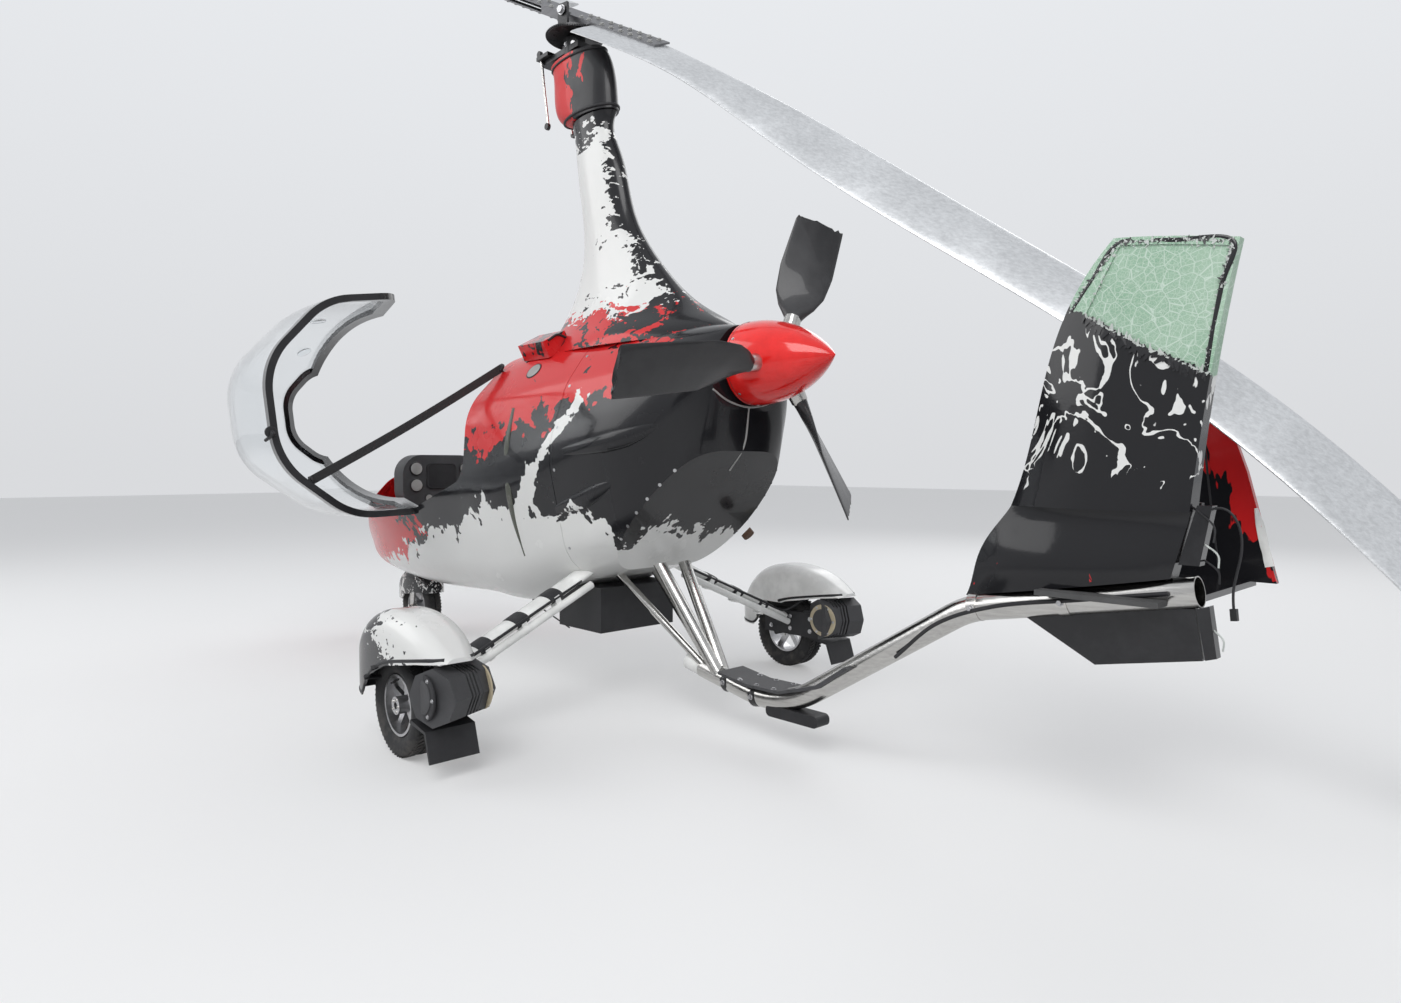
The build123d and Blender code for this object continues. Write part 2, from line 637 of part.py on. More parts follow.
def tail(keel_solid):
    """The fin with its torn skin, the ventral fin, what is left of the tailplane and rudder."""
    upper = loft([fin_section(*row) for row in FIN])
    (x_front, z_front), (x_rear, z_rear) = FIN_TOP
    above = z_front + 60
    upper -= slab([(x_front, z_front), (x_rear, z_rear), (x_rear, above), (x_front, above)], 120)
    whole = upper + loft([fin_section(*row) for row in FIN_FOOT])
    low = KEEL[2][1] + KEEL_R
    high = KEEL[3][1] + KEEL_R
    floor = [(-1400, 500), (-1400, low - 12), (-1500, low - 5), (-2115, high), (-2300, 740), (-2300, 500)]
    whole = whole - slab(floor, 200) - keel_solid
    hole = slab(TORN, 60, 61)
    deep = Pos(0, -TORN_DEPTH, 0) * whole
    fin = whole - (hole - deep)
    laminate = ((Pos(0, -LAMINATE_DEPTH, 0) * whole) & hole) - deep
    side = slab(SIDE_FIN, SIDE_FIN_T / 2, SIDE_FIN_Y)
    tailplane = Pos(-1905, SIDE_FIN_Y / 2 - 4, 656) * Box(400, -SIDE_FIN_Y - 60, 16)
    tailplane -= side
    stub = Pos(-1905, 62, 650) * Box(300, 60, 14)
    ventral = slab(VENTRAL, 12) - keel_solid
    rear_low = slab([(-2112, 640), (-2134, 522), (-2158, 530), (-2140, 650)], 15)
    rear_high = slab([(-2072, 742), (-2110, 884), (-2142, 884), (-2118, 742)], 18) - whole
    bracket = Pos(-2090, -50, 866) * Box(24, 20, 44) - whole
    return {
        "tail_fin": fin,
        "fin_laminate": laminate,
        "ventral_fin": ventral,
        "tailplane_right": tailplane - whole - keel_solid,
        "tailplane_stub_left": stub - whole - keel_solid,
        "side_fin_right": side,
        "rudder_stubs": rear_high + (rear_low - ventral - keel_solid),
        "tail_bracket": bracket,
    }


def cable():
    """The loose cable's tube and the plug on its end."""
    points = [Vector(*p) for p in CABLE]
    bends = []
    for a, b, c in zip(points, points[1:], points[2:]):
        run = min((b - a).length, (c - b).length)
        turn = radians((b - a).get_angle(c - b))
        bends.append(0.45 * run * cos(turn / 2) / sin(turn / 2))
    path = FilletPolyline(*CABLE, radius=bends)
    tube = sweep(Plane(origin=path @ 0, z_dir=path % 0) * Circle(CABLE_R), path=path)
    end, way = points[-1], (points[-1] - points[-2]).normalized()
    plug = Plane(origin=end + way * 14, z_dir=way, x_dir=(0, 1, 0)) * Box(16, 14, 28)
    return {"tail_cable": tube, "cable_plug": plug}, bends


def small_parts(outer, fairing):
    """Radiator box, gear clamps, exhaust stub, antenna, shoulder scoop and the canopy's strap."""
    radiator = Pos(120, 0, 400) * Box(290, 380, 180) - outer
    radiator = radiator.solids().sort_by(Axis.Z)[0]
    exhaust = rod((-330, -215, 800), (-430, -235, 700), 24) - outer
    antenna = Pos(560, 120, 372) * Box(40, 8, 60) - outer
    antenna = antenna.solids().sort_by(Axis.Z)[0] + rod((556, 120, 352), (380, 60, 262), 3)
    scoop = Pos(*SCOOP_AT) * Rot(SCOOP_TILT, 0, 0) * Box(*SCOOP_SIZE)
    scoop = scoop - outer - fairing
    a, b = Vector(*STRAP_ROOT), Vector(*STRAP_END)
    run = (b - a).normalized()
    flat = Plane(origin=(a + b) * 0.5, x_dir=run, z_dir=run.cross(Vector(0, -0.5, -0.86)))
    strap = flat * Box((b - a).length, STRAP_W, STRAP_T) - outer
    return {
        "radiator_box": radiator,
        "exhaust_stub": exhaust,
        "belly_antenna": antenna,
        "shoulder_scoop": scoop.solids().sort_by(Axis.Z)[-1],
        "canopy_strap": strap.solids().sort_by(Axis.Y)[-1],
    }


def engine():
    """The engine as one block, and the shaft housing that carries the propeller."""
    (x0, x1), (y0, y1), (z0, z1) = ENGINE_BOX
    block = Pos((x0 + x1) / 2, (y0 + y1) / 2, (z0 + z1) / 2) * Box(x1 - x0, y1 - y0, z1 - z0)
    end = BODY[-1][0] + 1
    housing = along((x0 + end) / 2, 0, PROP_Z, HUB_R + 12, x0 - end) - block
    return {"engine_block": block, "propeller_housing": housing}


def aircraft():
    """Every piece by name."""
    outer = body_form()
    brackets, arms = hinges()
    head = mast(outer)
    keel_parts, keel_solid = keel()
    cord, bends = cable()
    pieces = {
        **cabin(outer),
        "hinge_brackets": brackets - outer,
        "hinge_arms": arms,
        **cabin_fittings(),
        **head,
        **rotor(),
        **engine(),
        **propeller(),
        **main_gear(),
        **nose_gear(),
        **keel_parts,
        **tail(keel_solid),
        **cord,
        **small_parts(outer, head["mast_fairing"]),
    }
    pieces["canopy_frame"] += pieces.pop("hinge_arms")
    pieces["canopy_strap"] -= pieces["canopy_frame"]
    for name in ("gear_leg_left", "gear_leg_right", "keel_struts"):
        pieces[name] -= outer
    for side in ("left", "right"):
        pieces["gear_leg_" + side] -= pieces["wheel_arm_" + side]
        pieces["wheel_pant_" + side] -= pieces["gear_leg_" + side]
    print("cable bends", [round(r) for r in bends])
    return pieces


os.makedirs("parts", exist_ok=True)
for node, shape in aircraft().items():
    export_step(Pos(*PARKED) * shape, f"parts/{node}.step")
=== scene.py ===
"""A damaged two-seat gyrocopter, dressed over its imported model.

Lengths are metres. Places are measured from the middle of the main axle, on the ground, with +X
forward, +Y left and +Z up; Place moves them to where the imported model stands.
"""

import json
import logging
import math
from dataclasses import dataclass
from enum import Enum
from typing import Callable, Iterable, Sequence

import bmesh
import bpy
import numpy as np
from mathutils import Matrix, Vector
from mathutils.bvhtree import BVHTree

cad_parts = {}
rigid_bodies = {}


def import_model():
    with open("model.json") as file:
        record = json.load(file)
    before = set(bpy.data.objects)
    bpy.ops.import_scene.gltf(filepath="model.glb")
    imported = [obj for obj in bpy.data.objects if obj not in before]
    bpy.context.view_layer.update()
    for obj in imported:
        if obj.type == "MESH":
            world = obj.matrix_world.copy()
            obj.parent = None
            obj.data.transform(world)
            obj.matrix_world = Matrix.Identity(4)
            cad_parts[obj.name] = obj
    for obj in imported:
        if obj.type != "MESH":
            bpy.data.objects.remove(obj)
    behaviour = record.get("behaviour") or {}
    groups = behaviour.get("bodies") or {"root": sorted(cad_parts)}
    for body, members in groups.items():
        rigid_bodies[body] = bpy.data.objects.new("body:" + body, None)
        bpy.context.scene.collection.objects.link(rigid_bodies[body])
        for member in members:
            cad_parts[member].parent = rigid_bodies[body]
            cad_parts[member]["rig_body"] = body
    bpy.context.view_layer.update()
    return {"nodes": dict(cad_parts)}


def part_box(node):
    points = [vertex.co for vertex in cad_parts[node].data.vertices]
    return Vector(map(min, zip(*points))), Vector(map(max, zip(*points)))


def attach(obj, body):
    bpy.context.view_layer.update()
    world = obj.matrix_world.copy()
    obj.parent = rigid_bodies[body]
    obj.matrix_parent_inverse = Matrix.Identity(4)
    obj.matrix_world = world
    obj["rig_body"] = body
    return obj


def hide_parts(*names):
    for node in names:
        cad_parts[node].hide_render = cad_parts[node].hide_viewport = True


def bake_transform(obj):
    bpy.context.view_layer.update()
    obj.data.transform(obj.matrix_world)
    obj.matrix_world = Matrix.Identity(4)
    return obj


log = logging.getLogger("gyrocopter")
Point = tuple[float, float, float]
Pair = tuple[float, float]
Colour = tuple[float, float, float]
Spot = tuple[Vector, Vector]

WHITE: Colour = (0.78, 0.78, 0.76)
BLACK: Colour = (0.012, 0.012, 0.014)
RED: Colour = (0.62, 0.02, 0.022)
IMAGE_WIDTH = 1401
SENSOR = 36.0
AHEAD = Vector((1, 0, 0))
LEFTWARD = Vector((0, 1, 0))
UPWARD = Vector((0, 0, 1))


class Place:
    """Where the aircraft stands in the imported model."""

    def __init__(self) -> None:
        """Reads the main axle's middle from the two main tyres."""
        low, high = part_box("main_tyre_left")
        other_low, other_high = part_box("main_tyre_right")
        self.x = (low.x + high.x) / 2
        self.y = (low.y + high.y + other_low.y + other_high.y) / 4
        self.track = (low.y + high.y) / 2 - self.y

    def at(self, x: float, y: float, z: float) -> Vector:
        """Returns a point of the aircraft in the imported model's frame."""
        return Vector((x + self.x, y + self.y, z))


class Side(Enum):
    """Which side of the aircraft a piece is on."""

    LEFT = 1
    RIGHT = -1

    @property
    def word(self) -> str:
        """Returns the side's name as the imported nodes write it."""
        return self.name.lower()


class Tree:
    """Builds one node tree with short calls."""

    def __init__(self, tree: bpy.types.NodeTree) -> None:
        """Takes the tree to build in."""
        self.tree = tree

    def add(self, kind: str, **settings: object) -> bpy.types.Node:
        """Adds a node and sets its properties.

        Args:
            kind: The node's type.
            settings: Properties to set on it.

        Returns:
            The new node.
        """
        node = self.tree.nodes.new(kind)
        for key, value in settings.items():
            setattr(node, key, value)
        return node

    def plug(self, socket: bpy.types.NodeSocket, value: object) -> None:
        """Links a value into a socket, or sets the socket to a plain number, colour or material."""
        value = value.socket if isinstance(value, Value) else value
        if isinstance(value, bpy.types.NodeSocket):
            self.tree.links.new(value, socket)
        elif socket.type == "RGBA" and len(value) == 3:
            socket.default_value = (*value, 1.0)
        else:
            socket.default_value = value

    def feed(self, node: bpy.types.Node, **inputs: object) -> bpy.types.Node:
        """Fills a node's inputs by name, with _ for a space.

        Args:
            node: The node to feed.
            inputs: A socket or a plain value for each input.

        Returns:
            The same node.
        """
        for key, value in inputs.items():
            self.plug(node.inputs[key.replace("_", " ")], value)
        return node

    def math(self, operation: str, a: object, b: object = 0.0) -> "Value":
        """Returns the result of one sum on two numbers or sockets."""
        node = self.add("ShaderNodeMath", operation=operation)
        self.plug(node.inputs[0], a)
        self.plug(node.inputs[1], b)
        return Value(self, node.outputs[0])

    def outlets(self, node: bpy.types.Node) -> dict[str, "Value"]:
        """Returns a node's outputs by name."""
        return {socket.name: Value(self, socket) for socket in node.outputs}

    def seen(self) -> "Value":
        """Returns 1 for the rays that show a surface to the camera, also in gloss and through glass."""
        rays = self.add("ShaderNodeLightPath").outputs
        either = self.math("MAXIMUM", rays["Is Camera Ray"], rays["Is Glossy Ray"])
        return self.math("MAXIMUM", either, rays["Is Transmission Ray"])


@dataclass(frozen=True)
class Value:
    """A number in a node tree that can be reckoned with like a plain one."""

    tree: Tree
    socket: bpy.types.NodeSocket

    def __add__(self, other: object) -> "Value":
        """Returns the sum."""
        return self.tree.math("ADD", self, other)

    def __sub__(self, other: object) -> "Value":
        """Returns the difference."""
        return self.tree.math("SUBTRACT", self, other)

    def __rsub__(self, other: object) -> "Value":
        """Returns the difference from a plain number."""
        return self.tree.math("SUBTRACT", other, self)

    def __mul__(self, other: object) -> "Value":
        """Returns the product."""
        return self.tree.math("MULTIPLY", self, other)

    def __abs__(self) -> "Value":
        """Returns the size without the sign."""
        return self.tree.math("ABSOLUTE", self)

    def least(self, other: object) -> "Value":
        """Returns the smaller of two."""
        return self.tree.math("MINIMUM", self, other)

    def most(self, other: object) -> "Value":
        """Returns the greater of two."""
        return self.tree.math("MAXIMUM", self, other)


class Sketch(Tree):
    """Builds one material's node tree."""

    def __init__(self, name: str) -> None:
        """Starts an empty material.

        Args:
            name: What the material is called.
        """
        self.material = bpy.data.materials.new(name)
        self.material.use_nodes = True
        super().__init__(self.material.node_tree)
        self.shader = self.tree.nodes["Principled BSDF"]
        self.coords: object = self.add("ShaderNodeTexCoord").outputs["Object"]

    def axes(self) -> tuple[Value, ...]:
        """Returns the x, y and z of the point that is shaded."""
        node = self.add("ShaderNodeSeparateXYZ")
        self.plug(node.inputs[0], self.coords)
        return tuple(self.outlets(node).values())

    def stretched(self, scale: Point, turn: Point = (0, 0, 0), move: Point = (0, 0, 0)) -> Value:
        """Returns the object's coordinates, turned and stretched.

        Args:
            scale: How much each axis is stretched.
            turn: Turns about the three axes, in degrees.
            move: A shift before the stretch.

        Returns:
            The new coordinates.
        """
        node = self.add("ShaderNodeMapping")
        turned = tuple(math.radians(a) for a in turn)
        self.feed(node, Vector=self.coords, Scale=scale, Rotation=turned, Location=move)
        return Value(self, node.outputs[0])

    def noise(self, scale: object, detail: float = 4.0, rough: float = 0.5, twist: float = 0.0) -> Value:
        """Returns a cloudy pattern from 0 to 1."""
        node = self.add("ShaderNodeTexNoise")
        self.feed(node, Vector=self.coords, Scale=scale, Detail=detail, Roughness=rough, Distortion=twist)
        return Value(self, node.outputs["Fac"])

    def cells(self, scale: object, feature: str = "F1") -> Value:
        """Returns a cell pattern: the distance to the nearest point or edge."""
        node = self.add("ShaderNodeTexVoronoi", feature=feature)
        self.feed(node, Vector=self.coords, Scale=scale)
        return Value(self, node.outputs["Distance"])

    def ramp(self, value: object, low: float, high: float, out_low: float = 0.0,
             out_high: float = 1.0) -> Value:
        """Returns value stretched from low-high to out_low-out_high, and clamped."""
        node = self.add("ShaderNodeMapRange", clamp=True)
        self.feed(node, Value=value, From_Min=low, From_Max=high, To_Min=out_low, To_Max=out_high)
        return Value(self, node.outputs[0])

    def blend(self, share: object, under: object, over: object) -> Value:
        """Returns one colour laid over another.

        Args:
            share: How much of the upper colour shows.
            under: The lower colour, as a socket or three numbers.
            over: The upper colour.

        Returns:
            The mixed colour.
        """
        node = self.add("ShaderNodeMix", data_type="RGBA")
        for number, value in ((0, share), (6, under), (7, over)):
            self.plug(node.inputs[number], value)
        return Value(self, node.outputs[2])

    def bump(self, height: Value, depth: float, strength: float = 1.0) -> None:
        """Raises the surface by a height pattern.

        Args:
            height: The pattern.
            depth: Its depth in metres.
            strength: How strongly it shows.
        """
        node = self.feed(self.add("ShaderNodeBump"), Height=height, Distance=depth, Strength=strength)
        self.feed(self.shader, Normal=node.outputs[0])

    def use(self, pattern: "Pattern", **inputs: object) -> dict[str, Value]:
        """Places a shared pattern here and returns its outputs.

        Args:
            pattern: The pattern.
            inputs: Its inputs, where they differ from the usual ones.
        """
        node = self.add("ShaderNodeGroup", node_tree=pattern.tree)
        return self.outlets(self.feed(node, **{"Vector": self.coords, **inputs}))

    def finish(self, **inputs: object) -> bpy.types.Material:
        """Feeds the surface shader and returns the material."""
        self.feed(self.shader, **inputs)
        return self.material


class Pattern(Sketch):
    """A shader node group that gives masks, colours and heights, built once for every material."""

    def __init__(self, name: str, **numbers: float) -> None:
        """Starts an empty group with a Vector input.

        Args:
            name: What the group is called.
            numbers: Further number inputs and their usual values.
        """
        self.tree = bpy.data.node_groups.new(name, "ShaderNodeTree")
        self.tree.interface.new_socket("Vector", in_out="INPUT", socket_type="NodeSocketVector")
        for key, value in numbers.items():
            socket = self.tree.interface.new_socket(key, in_out="INPUT", socket_type="NodeSocketFloat")
            socket.default_value = value
        self.entry = self.outlets(self.add("NodeGroupInput"))
        self.coords = self.entry["Vector"]

    def give(self, **outputs: Value) -> "Pattern":
        """Makes the group's outputs and returns the group.

        Args:
            outputs: The value behind each output, by name.
        """
        for key, value in outputs.items():
            kind = "NodeSocketColor" if value.socket.type == "RGBA" else "NodeSocketFloat"
            self.tree.interface.new_socket(key, in_out="OUTPUT", socket_type=kind)
        self.feed(self.add("NodeGroupOutput"), **outputs)
        return self


class Patterns:
    """The patterns that several materials share."""

    def __init__(self) -> None:
        """Makes the groups."""
        self.wear = self._wear()
        self.brushed = self._brushed()
        self.woven = self._woven()
        self.splash = self._splash()
        self.crazed = self._crazed()

    def _wear(self) -> Pattern:
        """Returns a faint cloud of wear and dust."""
        group = Pattern("wear", Scale=9.0)
        return group.give(Mask=group.noise(group.entry["Scale"], 6.0, 0.6))

    def _brushed(self) -> Pattern:
        """Returns brush lines, which follow the stretched Vector, over a cloud."""
        group = Pattern("brushed", Cloud=0.5)
        brush = group.noise(2.0, 5.0, 0.7)
        return group.give(Mask=group.ramp(brush + group.entry["Cloud"] * 0.6, 0.6, 1.0),
                          Height=brush * 0.0006)

    def _woven(self) -> Pattern:
        """Returns the threads of a cloth."""
        group = Pattern("woven", Scale=420.0)
        scale = group.entry["Scale"]
        threads = group.cells(scale) * group.noise(scale * 0.7)
        return group.give(Mask=group.ramp(threads, 0.1, 0.45), Height=threads)

    def _splash(self) -> Pattern:
        """Returns the level of thrown paint: clouds, fine spray, round drops and thin strings."""
        group = Pattern("splash", Scale=5.0, Drops=0.35, Strings=0.0)
        scale = group.entry["Scale"]
        cloud = group.noise(scale, 3.0, 0.62, 1.1)
        spray = group.noise(scale * 5.0, 2.0, 0.5, 0.4)
        drops = group.ramp(group.cells(scale * 3.0), 0.0, 0.34, 1.0, 0.0)
        strings = group.ramp(abs(cloud - 0.5), 0.0, 0.050, 1.0, 0.0)
        level = (cloud - 0.5) * 3.2 + (spray - 0.5) * 1.3
        return group.give(Level=level + drops * group.entry["Drops"] + strings * group.entry["Strings"])

    def _crazed(self) -> Pattern:
        """Returns green laminate under a white net of cracks."""
        group = Pattern("crazed")
        clouds = group.noise(5.0, 4.0, 0.6, 0.5)
        nets = ((34.0, 0.05, 0.85), (82.0, 0.06, 0.65), (190.0, 0.09, 0.35))
        wide, fine, hair = (group.ramp(group.cells(scale, "DISTANCE_TO_EDGE"), 0.0, width, white, 0.0)
                            for scale, width, white in nets)
        lines = wide.most(fine).most(hair)
        pale = group.blend(group.ramp(clouds, 0.35, 0.7), (0.25, 0.43, 0.29), (0.38, 0.55, 0.41))
        return group.give(Color=group.blend(lines, pale, (0.66, 0.76, 0.68)), Height=lines)


@dataclass(frozen=True)
class Plastic:
    """A moulded or painted plastic with a faint cloud of wear."""

    name: str
    colour: Colour
    roughness: float = 0.4
    coat: float = 0.0
    grain: float = 0.0
    specular: float = 0.3

    def make(self) -> bpy.types.Material:
        """Returns the material."""
        s = Sketch(self.name)
        wear = s.use(patterns.wear)["Mask"]
        lighter = tuple(min(1.0, c * 1.25 + 0.008) for c in self.colour)
        colour = s.blend(s.ramp(wear, 0.42, 0.72), self.colour, lighter)
        rough = s.ramp(wear, 0.3, 0.75, self.roughness * 0.85, min(1.0, self.roughness * 1.25))
        if self.grain:
            s.bump(s.noise(900.0, 2.0, 0.6), self.grain)
        return s.finish(Base_Color=colour, Roughness=rough, Specular_IOR_Level=self.specular,
                        Coat_Weight=self.coat, Coat_Roughness=0.05)


@dataclass(frozen=True)
class Metal:
    """A metal with fine brush lines along one direction."""

    name: str
    colour: Colour
    roughness: float = 0.3
    lines: Point = (4.0, 160.0, 160.0)
    turn: Point = (0.0, 0.0, 0.0)
    dents: float = 0.0

    def make(self) -> bpy.types.Material:
        """Returns the material."""
        s = Sketch(self.name)
        cloud = s.use(patterns.wear, Scale=3.5)["Mask"]
        brushed = s.use(patterns.brushed, Vector=s.stretched(self.lines, self.turn), Cloud=cloud)
        colour = s.blend(brushed["Mask"], tuple(c * 0.74 for c in self.colour), self.colour)
        rough = s.ramp(cloud, 0.3, 0.7, self.roughness * 0.8, self.roughness * 1.3)
        height = brushed["Height"]
        if self.dents:
            height += s.noise(5.0, 2.0, 0.4, 0.6) * self.dents
        s.bump(height, 1.0, 0.8)
        return s.finish(Base_Color=colour, Roughness=rough, Metallic=1.0)


@dataclass(frozen=True)
class Rubber:
    """Tyre rubber, dusty where it rolls."""

    name: str
    colour: Colour = (0.022, 0.022, 0.023)
    dust: Colour = (0.16, 0.145, 0.13)

    def make(self) -> bpy.types.Material:
        """Returns the material."""
        s = Sketch(self.name)
        dust = s.use(patterns.wear, Scale=14.0)["Mask"]
        low = s.ramp(s.axes()[2], 0.0, 0.3, 0.5, 0.12)
        colour = s.blend(s.ramp(dust, 0.45, 0.7) * low, self.colour, self.dust)
        s.bump(s.noise(400.0, 2.0), 0.0004)
        return s.finish(Base_Color=colour, Roughness=0.82)


@dataclass(frozen=True)
class Glazing:
    """Clear canopy plastic with faint smears."""

    name: str
    tint: Colour = (0.93, 0.95, 0.96)

    def make(self) -> bpy.types.Material:
        """Returns the material."""
        s = Sketch(self.name)
        smear = s.ramp(s.use(patterns.wear, Scale=2.2)["Mask"], 0.4, 0.75, 0.02, 0.12)
        s.material.blend_method = "BLEND"
        return s.finish(Base_Color=self.tint, Roughness=smear, Transmission_Weight=1.0, IOR=1.12,
                        Specular_IOR_Level=0.9, Coat_Weight=0.6, Coat_Roughness=0.03)


@dataclass(frozen=True)
class Cloth:
    """Woven seat cloth or webbing."""

    name: str
    colour: Colour

    def make(self) -> bpy.types.Material:
        """Returns the material."""
        s = Sketch(self.name)
        woven = s.use(patterns.woven)
        colour = s.blend(woven["Mask"], self.colour, tuple(c * 2.2 for c in self.colour))
        s.bump(woven["Height"], 0.0012)
        return s.finish(Base_Color=colour, Roughness=0.9, Sheen_Weight=0.4)


@dataclass(frozen=True)
class TornLaminate:
    """Bare glass-fibre laminate with a white net of cracks."""

    name: str

    def make(self) -> bpy.types.Material:
        """Returns the material."""
        s = Sketch(self.name)
        crazed = s.use(patterns.crazed)
        s.bump(crazed["Height"], 0.0006)
        return s.finish(Base_Color=crazed["Color"], Roughness=0.55, Coat_Weight=0.15)


@dataclass(frozen=True)
class Splatter:
    """Glossy paint in up to three colours that meet in splashes and drops.

    Each coat has a colour, a rule and a strength. The rule takes the sketch and the point's axes
    from the middle of the axle and returns a number: the colour covers where that number is above
    0, after the splash pattern has been added. The same kind of rule says where the skin is torn
    off and the laminate under it is bare.
    """

    name: str
    base: Colour
    coats: tuple[tuple[Colour, Callable[..., object], float], ...]
    scale: float = 5.0
    streak: Point = (1.0, 1.0, 1.0)
    turn: Point = (0.0, 0.0, 0.0)
    roughness: float = 0.20
    coat: float = 0.20
    strings: float = 0.0
    drops: float = 0.35
    bare: Callable[..., Value] | None = None

    def make(self) -> bpy.types.Material:
        """Returns the material."""
        s = Sketch(self.name)
        x, y, z = s.axes()
        x, y = x - place.x, y - place.y
        colour: object = self.base
        for number, (coat, rule, strength) in enumerate(self.coats):
            shift = (3.7 * number + 1.3, 2.1 * number, 5.9 * number)
            where = s.stretched(self.streak, self.turn, shift)
            thrown = s.use(patterns.splash, Vector=where, Scale=self.scale, Drops=self.drops,
                           Strings=self.strings)
            level = thrown["Level"] * strength + rule(s, x, y, z)
            colour = s.blend(s.ramp(level, -0.02, 0.02), colour, coat)
        wear = s.use(patterns.wear, Scale=4.0)["Mask"]
        rough = s.ramp(wear, 0.35, 0.7, self.roughness * 0.7, self.roughness * 1.6)
        if self.bare:
            torn = s.ramp(self.bare(s, x, y, z), -0.002, 0.002)
            colour = s.blend(torn, colour, s.use(patterns.crazed)["Color"])
            rough = rough.most(torn * 0.55)
        s.bump(s.noise(140.0, 2.0, 0.4), 0.00012)
        return s.finish(Base_Color=colour, Roughness=rough, Specular_IOR_Level=0.25,
                        Coat_Weight=self.coat, Coat_Roughness=0.04)


def belly_white(s: Sketch, x: Value, y: Value, z: Value) -> Value:
    """White on the belly, with a splash that climbs from it towards the foot of the mast."""
    edge = (x * -0.30 + 0.95).least((x * 0.25 + 0.80).least(0.80))
    belly = (edge - z) * 6.0
    away = abs(x - (z * -0.785 + 0.852)) * 11.0
    splash = (0.45 - away).least((1.25 - z) * 8.0)
    return belly.most(splash).least(1.6)


def shoulder_red(s: Sketch, x: Value, y: Value, z: Value) -> Value:
    """Red on the shoulder, in a band that rises rearwards over the cowl, and on the nose."""
    shoulder = (z - (x * -0.42 + 1.21).most(1.02)) * 6.0
    nose = (x - 1.25) * 2.6
    return shoulder.least(x * 3.0 + 1.3).most(nose).least(0.9)


def shoulder_black(s: Sketch, x: Value, y: Value, z: Value) -> Value:
    """Black strokes over the red, thickest where the shoulder meets the mast."""
    return (z - 1.32) * 2.4 - 0.62


def mast_white(s: Sketch, x: Value, y: Value, z: Value) -> Value:
    """White on the front and sides of the mast, between a dark top and a dark foot."""
    rise = z - 1.95
    ahead = (x - ((rise * 1.1).least(rise * 0.23) + 0.05)) * 9.0
    low = (z - 1.55) * 8.0
    high = (2.36 - z) * 5.0
    return ahead.least(1.1).least(low.least(high))


def mast_black(s: Sketch, x: Value, y: Value, z: Value) -> Value:
    """Fine black strokes on the mast, thicker rearwards and towards its foot."""
    return ((0.14 - x) * 1.8).most((1.80 - z) * 1.2) - 0.62


def mast_red(s: Sketch, x: Value, y: Value, z: Value) -> Value:
    """Red at the foot of the mast, thinning out rearwards."""
    return ((1.60 - z) * 7.0).least(x * 2.0 + 0.9) - 0.15


def boot_red(s: Sketch, x: Value, y: Value, z: Value) -> Value:
    """Red on the front half of the boot."""
    return (x - 0.33) * 6.0


def fin_white(s: Sketch, x: Value, y: Value, z: Value) -> Value:
    """White drops and strings across the middle of the fin."""
    away = (abs(z - 1.14) - 0.15).most(0.0)
    return -0.62 - away * 9.0


def fin_torn(s: Sketch, x: Value, y: Value, z: Value) -> Value:
    """Bare laminate above the ragged line where the fin's skin tore off."""
    ragged = (s.noise(38.0, 4.0, 0.7) - 0.5) * 0.05
    return z - (x * 0.59 + 2.445 + ragged)


def fin_red(s: Sketch, x: Value, y: Value, z: Value) -> Value:
    """Painted reflection: small red blotches low on the fin, standing in for the red side fin seen in the
    fin's glossy lower part.
    """
    return (0.86 - z) * 1.2 - 1.05


def side_red(s: Sketch, x: Value, y: Value, z: Value) -> Value:
    """Red over the top and the trailing edge of the side fin."""
    return (z - (x * 1.822 + 4.575)) * 6.0 - 0.10


def strokes(s: Sketch, x: Value, y: Value, z: Value) -> float:
    """Loose strokes, everywhere alike."""
    return -0.42


def pant_black(s: Sketch, x: Value, y: Value, z: Value) -> Value:
    """Black round the lower front of a wheel fairing."""
    return (0.41 - z) * 5.0 + (x + 0.04) * 2.6


def nose_black(s: Sketch, x: Value, y: Value, z: Value) -> Value:
    """Black over most of the nose wheel's fairing."""
    return (z - 0.30) * 4.0 + 0.15


class Skin:
    """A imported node's surface, for setting pieces on it."""

    def __init__(self, *nodes: str) -> None:
        """Reads the nodes' meshes.

        Args:
            nodes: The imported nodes' names.
        """
        points: list[Vector] = []
        faces: list[tuple[int, ...]] = []
        for node in nodes:
            mesh = frame["nodes"][node].data
            first = len(points)
            points += [v.co.copy() for v in mesh.vertices]
            faces += [tuple(i + first for i in f.vertices) for f in mesh.polygons]
        self.tree = BVHTree.FromPolygons(points, faces)

    def hit(self, start: Vector, way: Vector, lift: float = 0.0) -> Spot:
        """Returns where a line first meets the surface, and the surface's outward direction there.

        Args:
            start: Where the line starts.
            way: The line's direction.
            lift: How far off the surface the point stands.

        Returns:
            The point and the direction.
        """
        spot, normal, _, _ = self.tree.ray_cast(start, way)
        if spot is None:
            spot, normal, _, _ = self.tree.find_nearest(start)
        if normal.dot(way) > 0:
            normal = -normal
        return spot + normal * lift, normal

    def beside(self, x: float, z: float, side: Side = Side.LEFT, lift: float = 0.0) -> Spot:
        """Returns the point of a flank at x and z, from the middle of the axle."""
        start = place.at(x, side.value * 1.6, z)
        return self.hit(start, Vector((0, -side.value, 0)), lift)

    def above(self, x: float, y: float, lift: float = 0.0) -> Spot:
        """Returns the point of the top surface at x and y, from the middle of the axle."""
        return self.hit(place.at(x, y, 3.0), -UPWARD, lift)


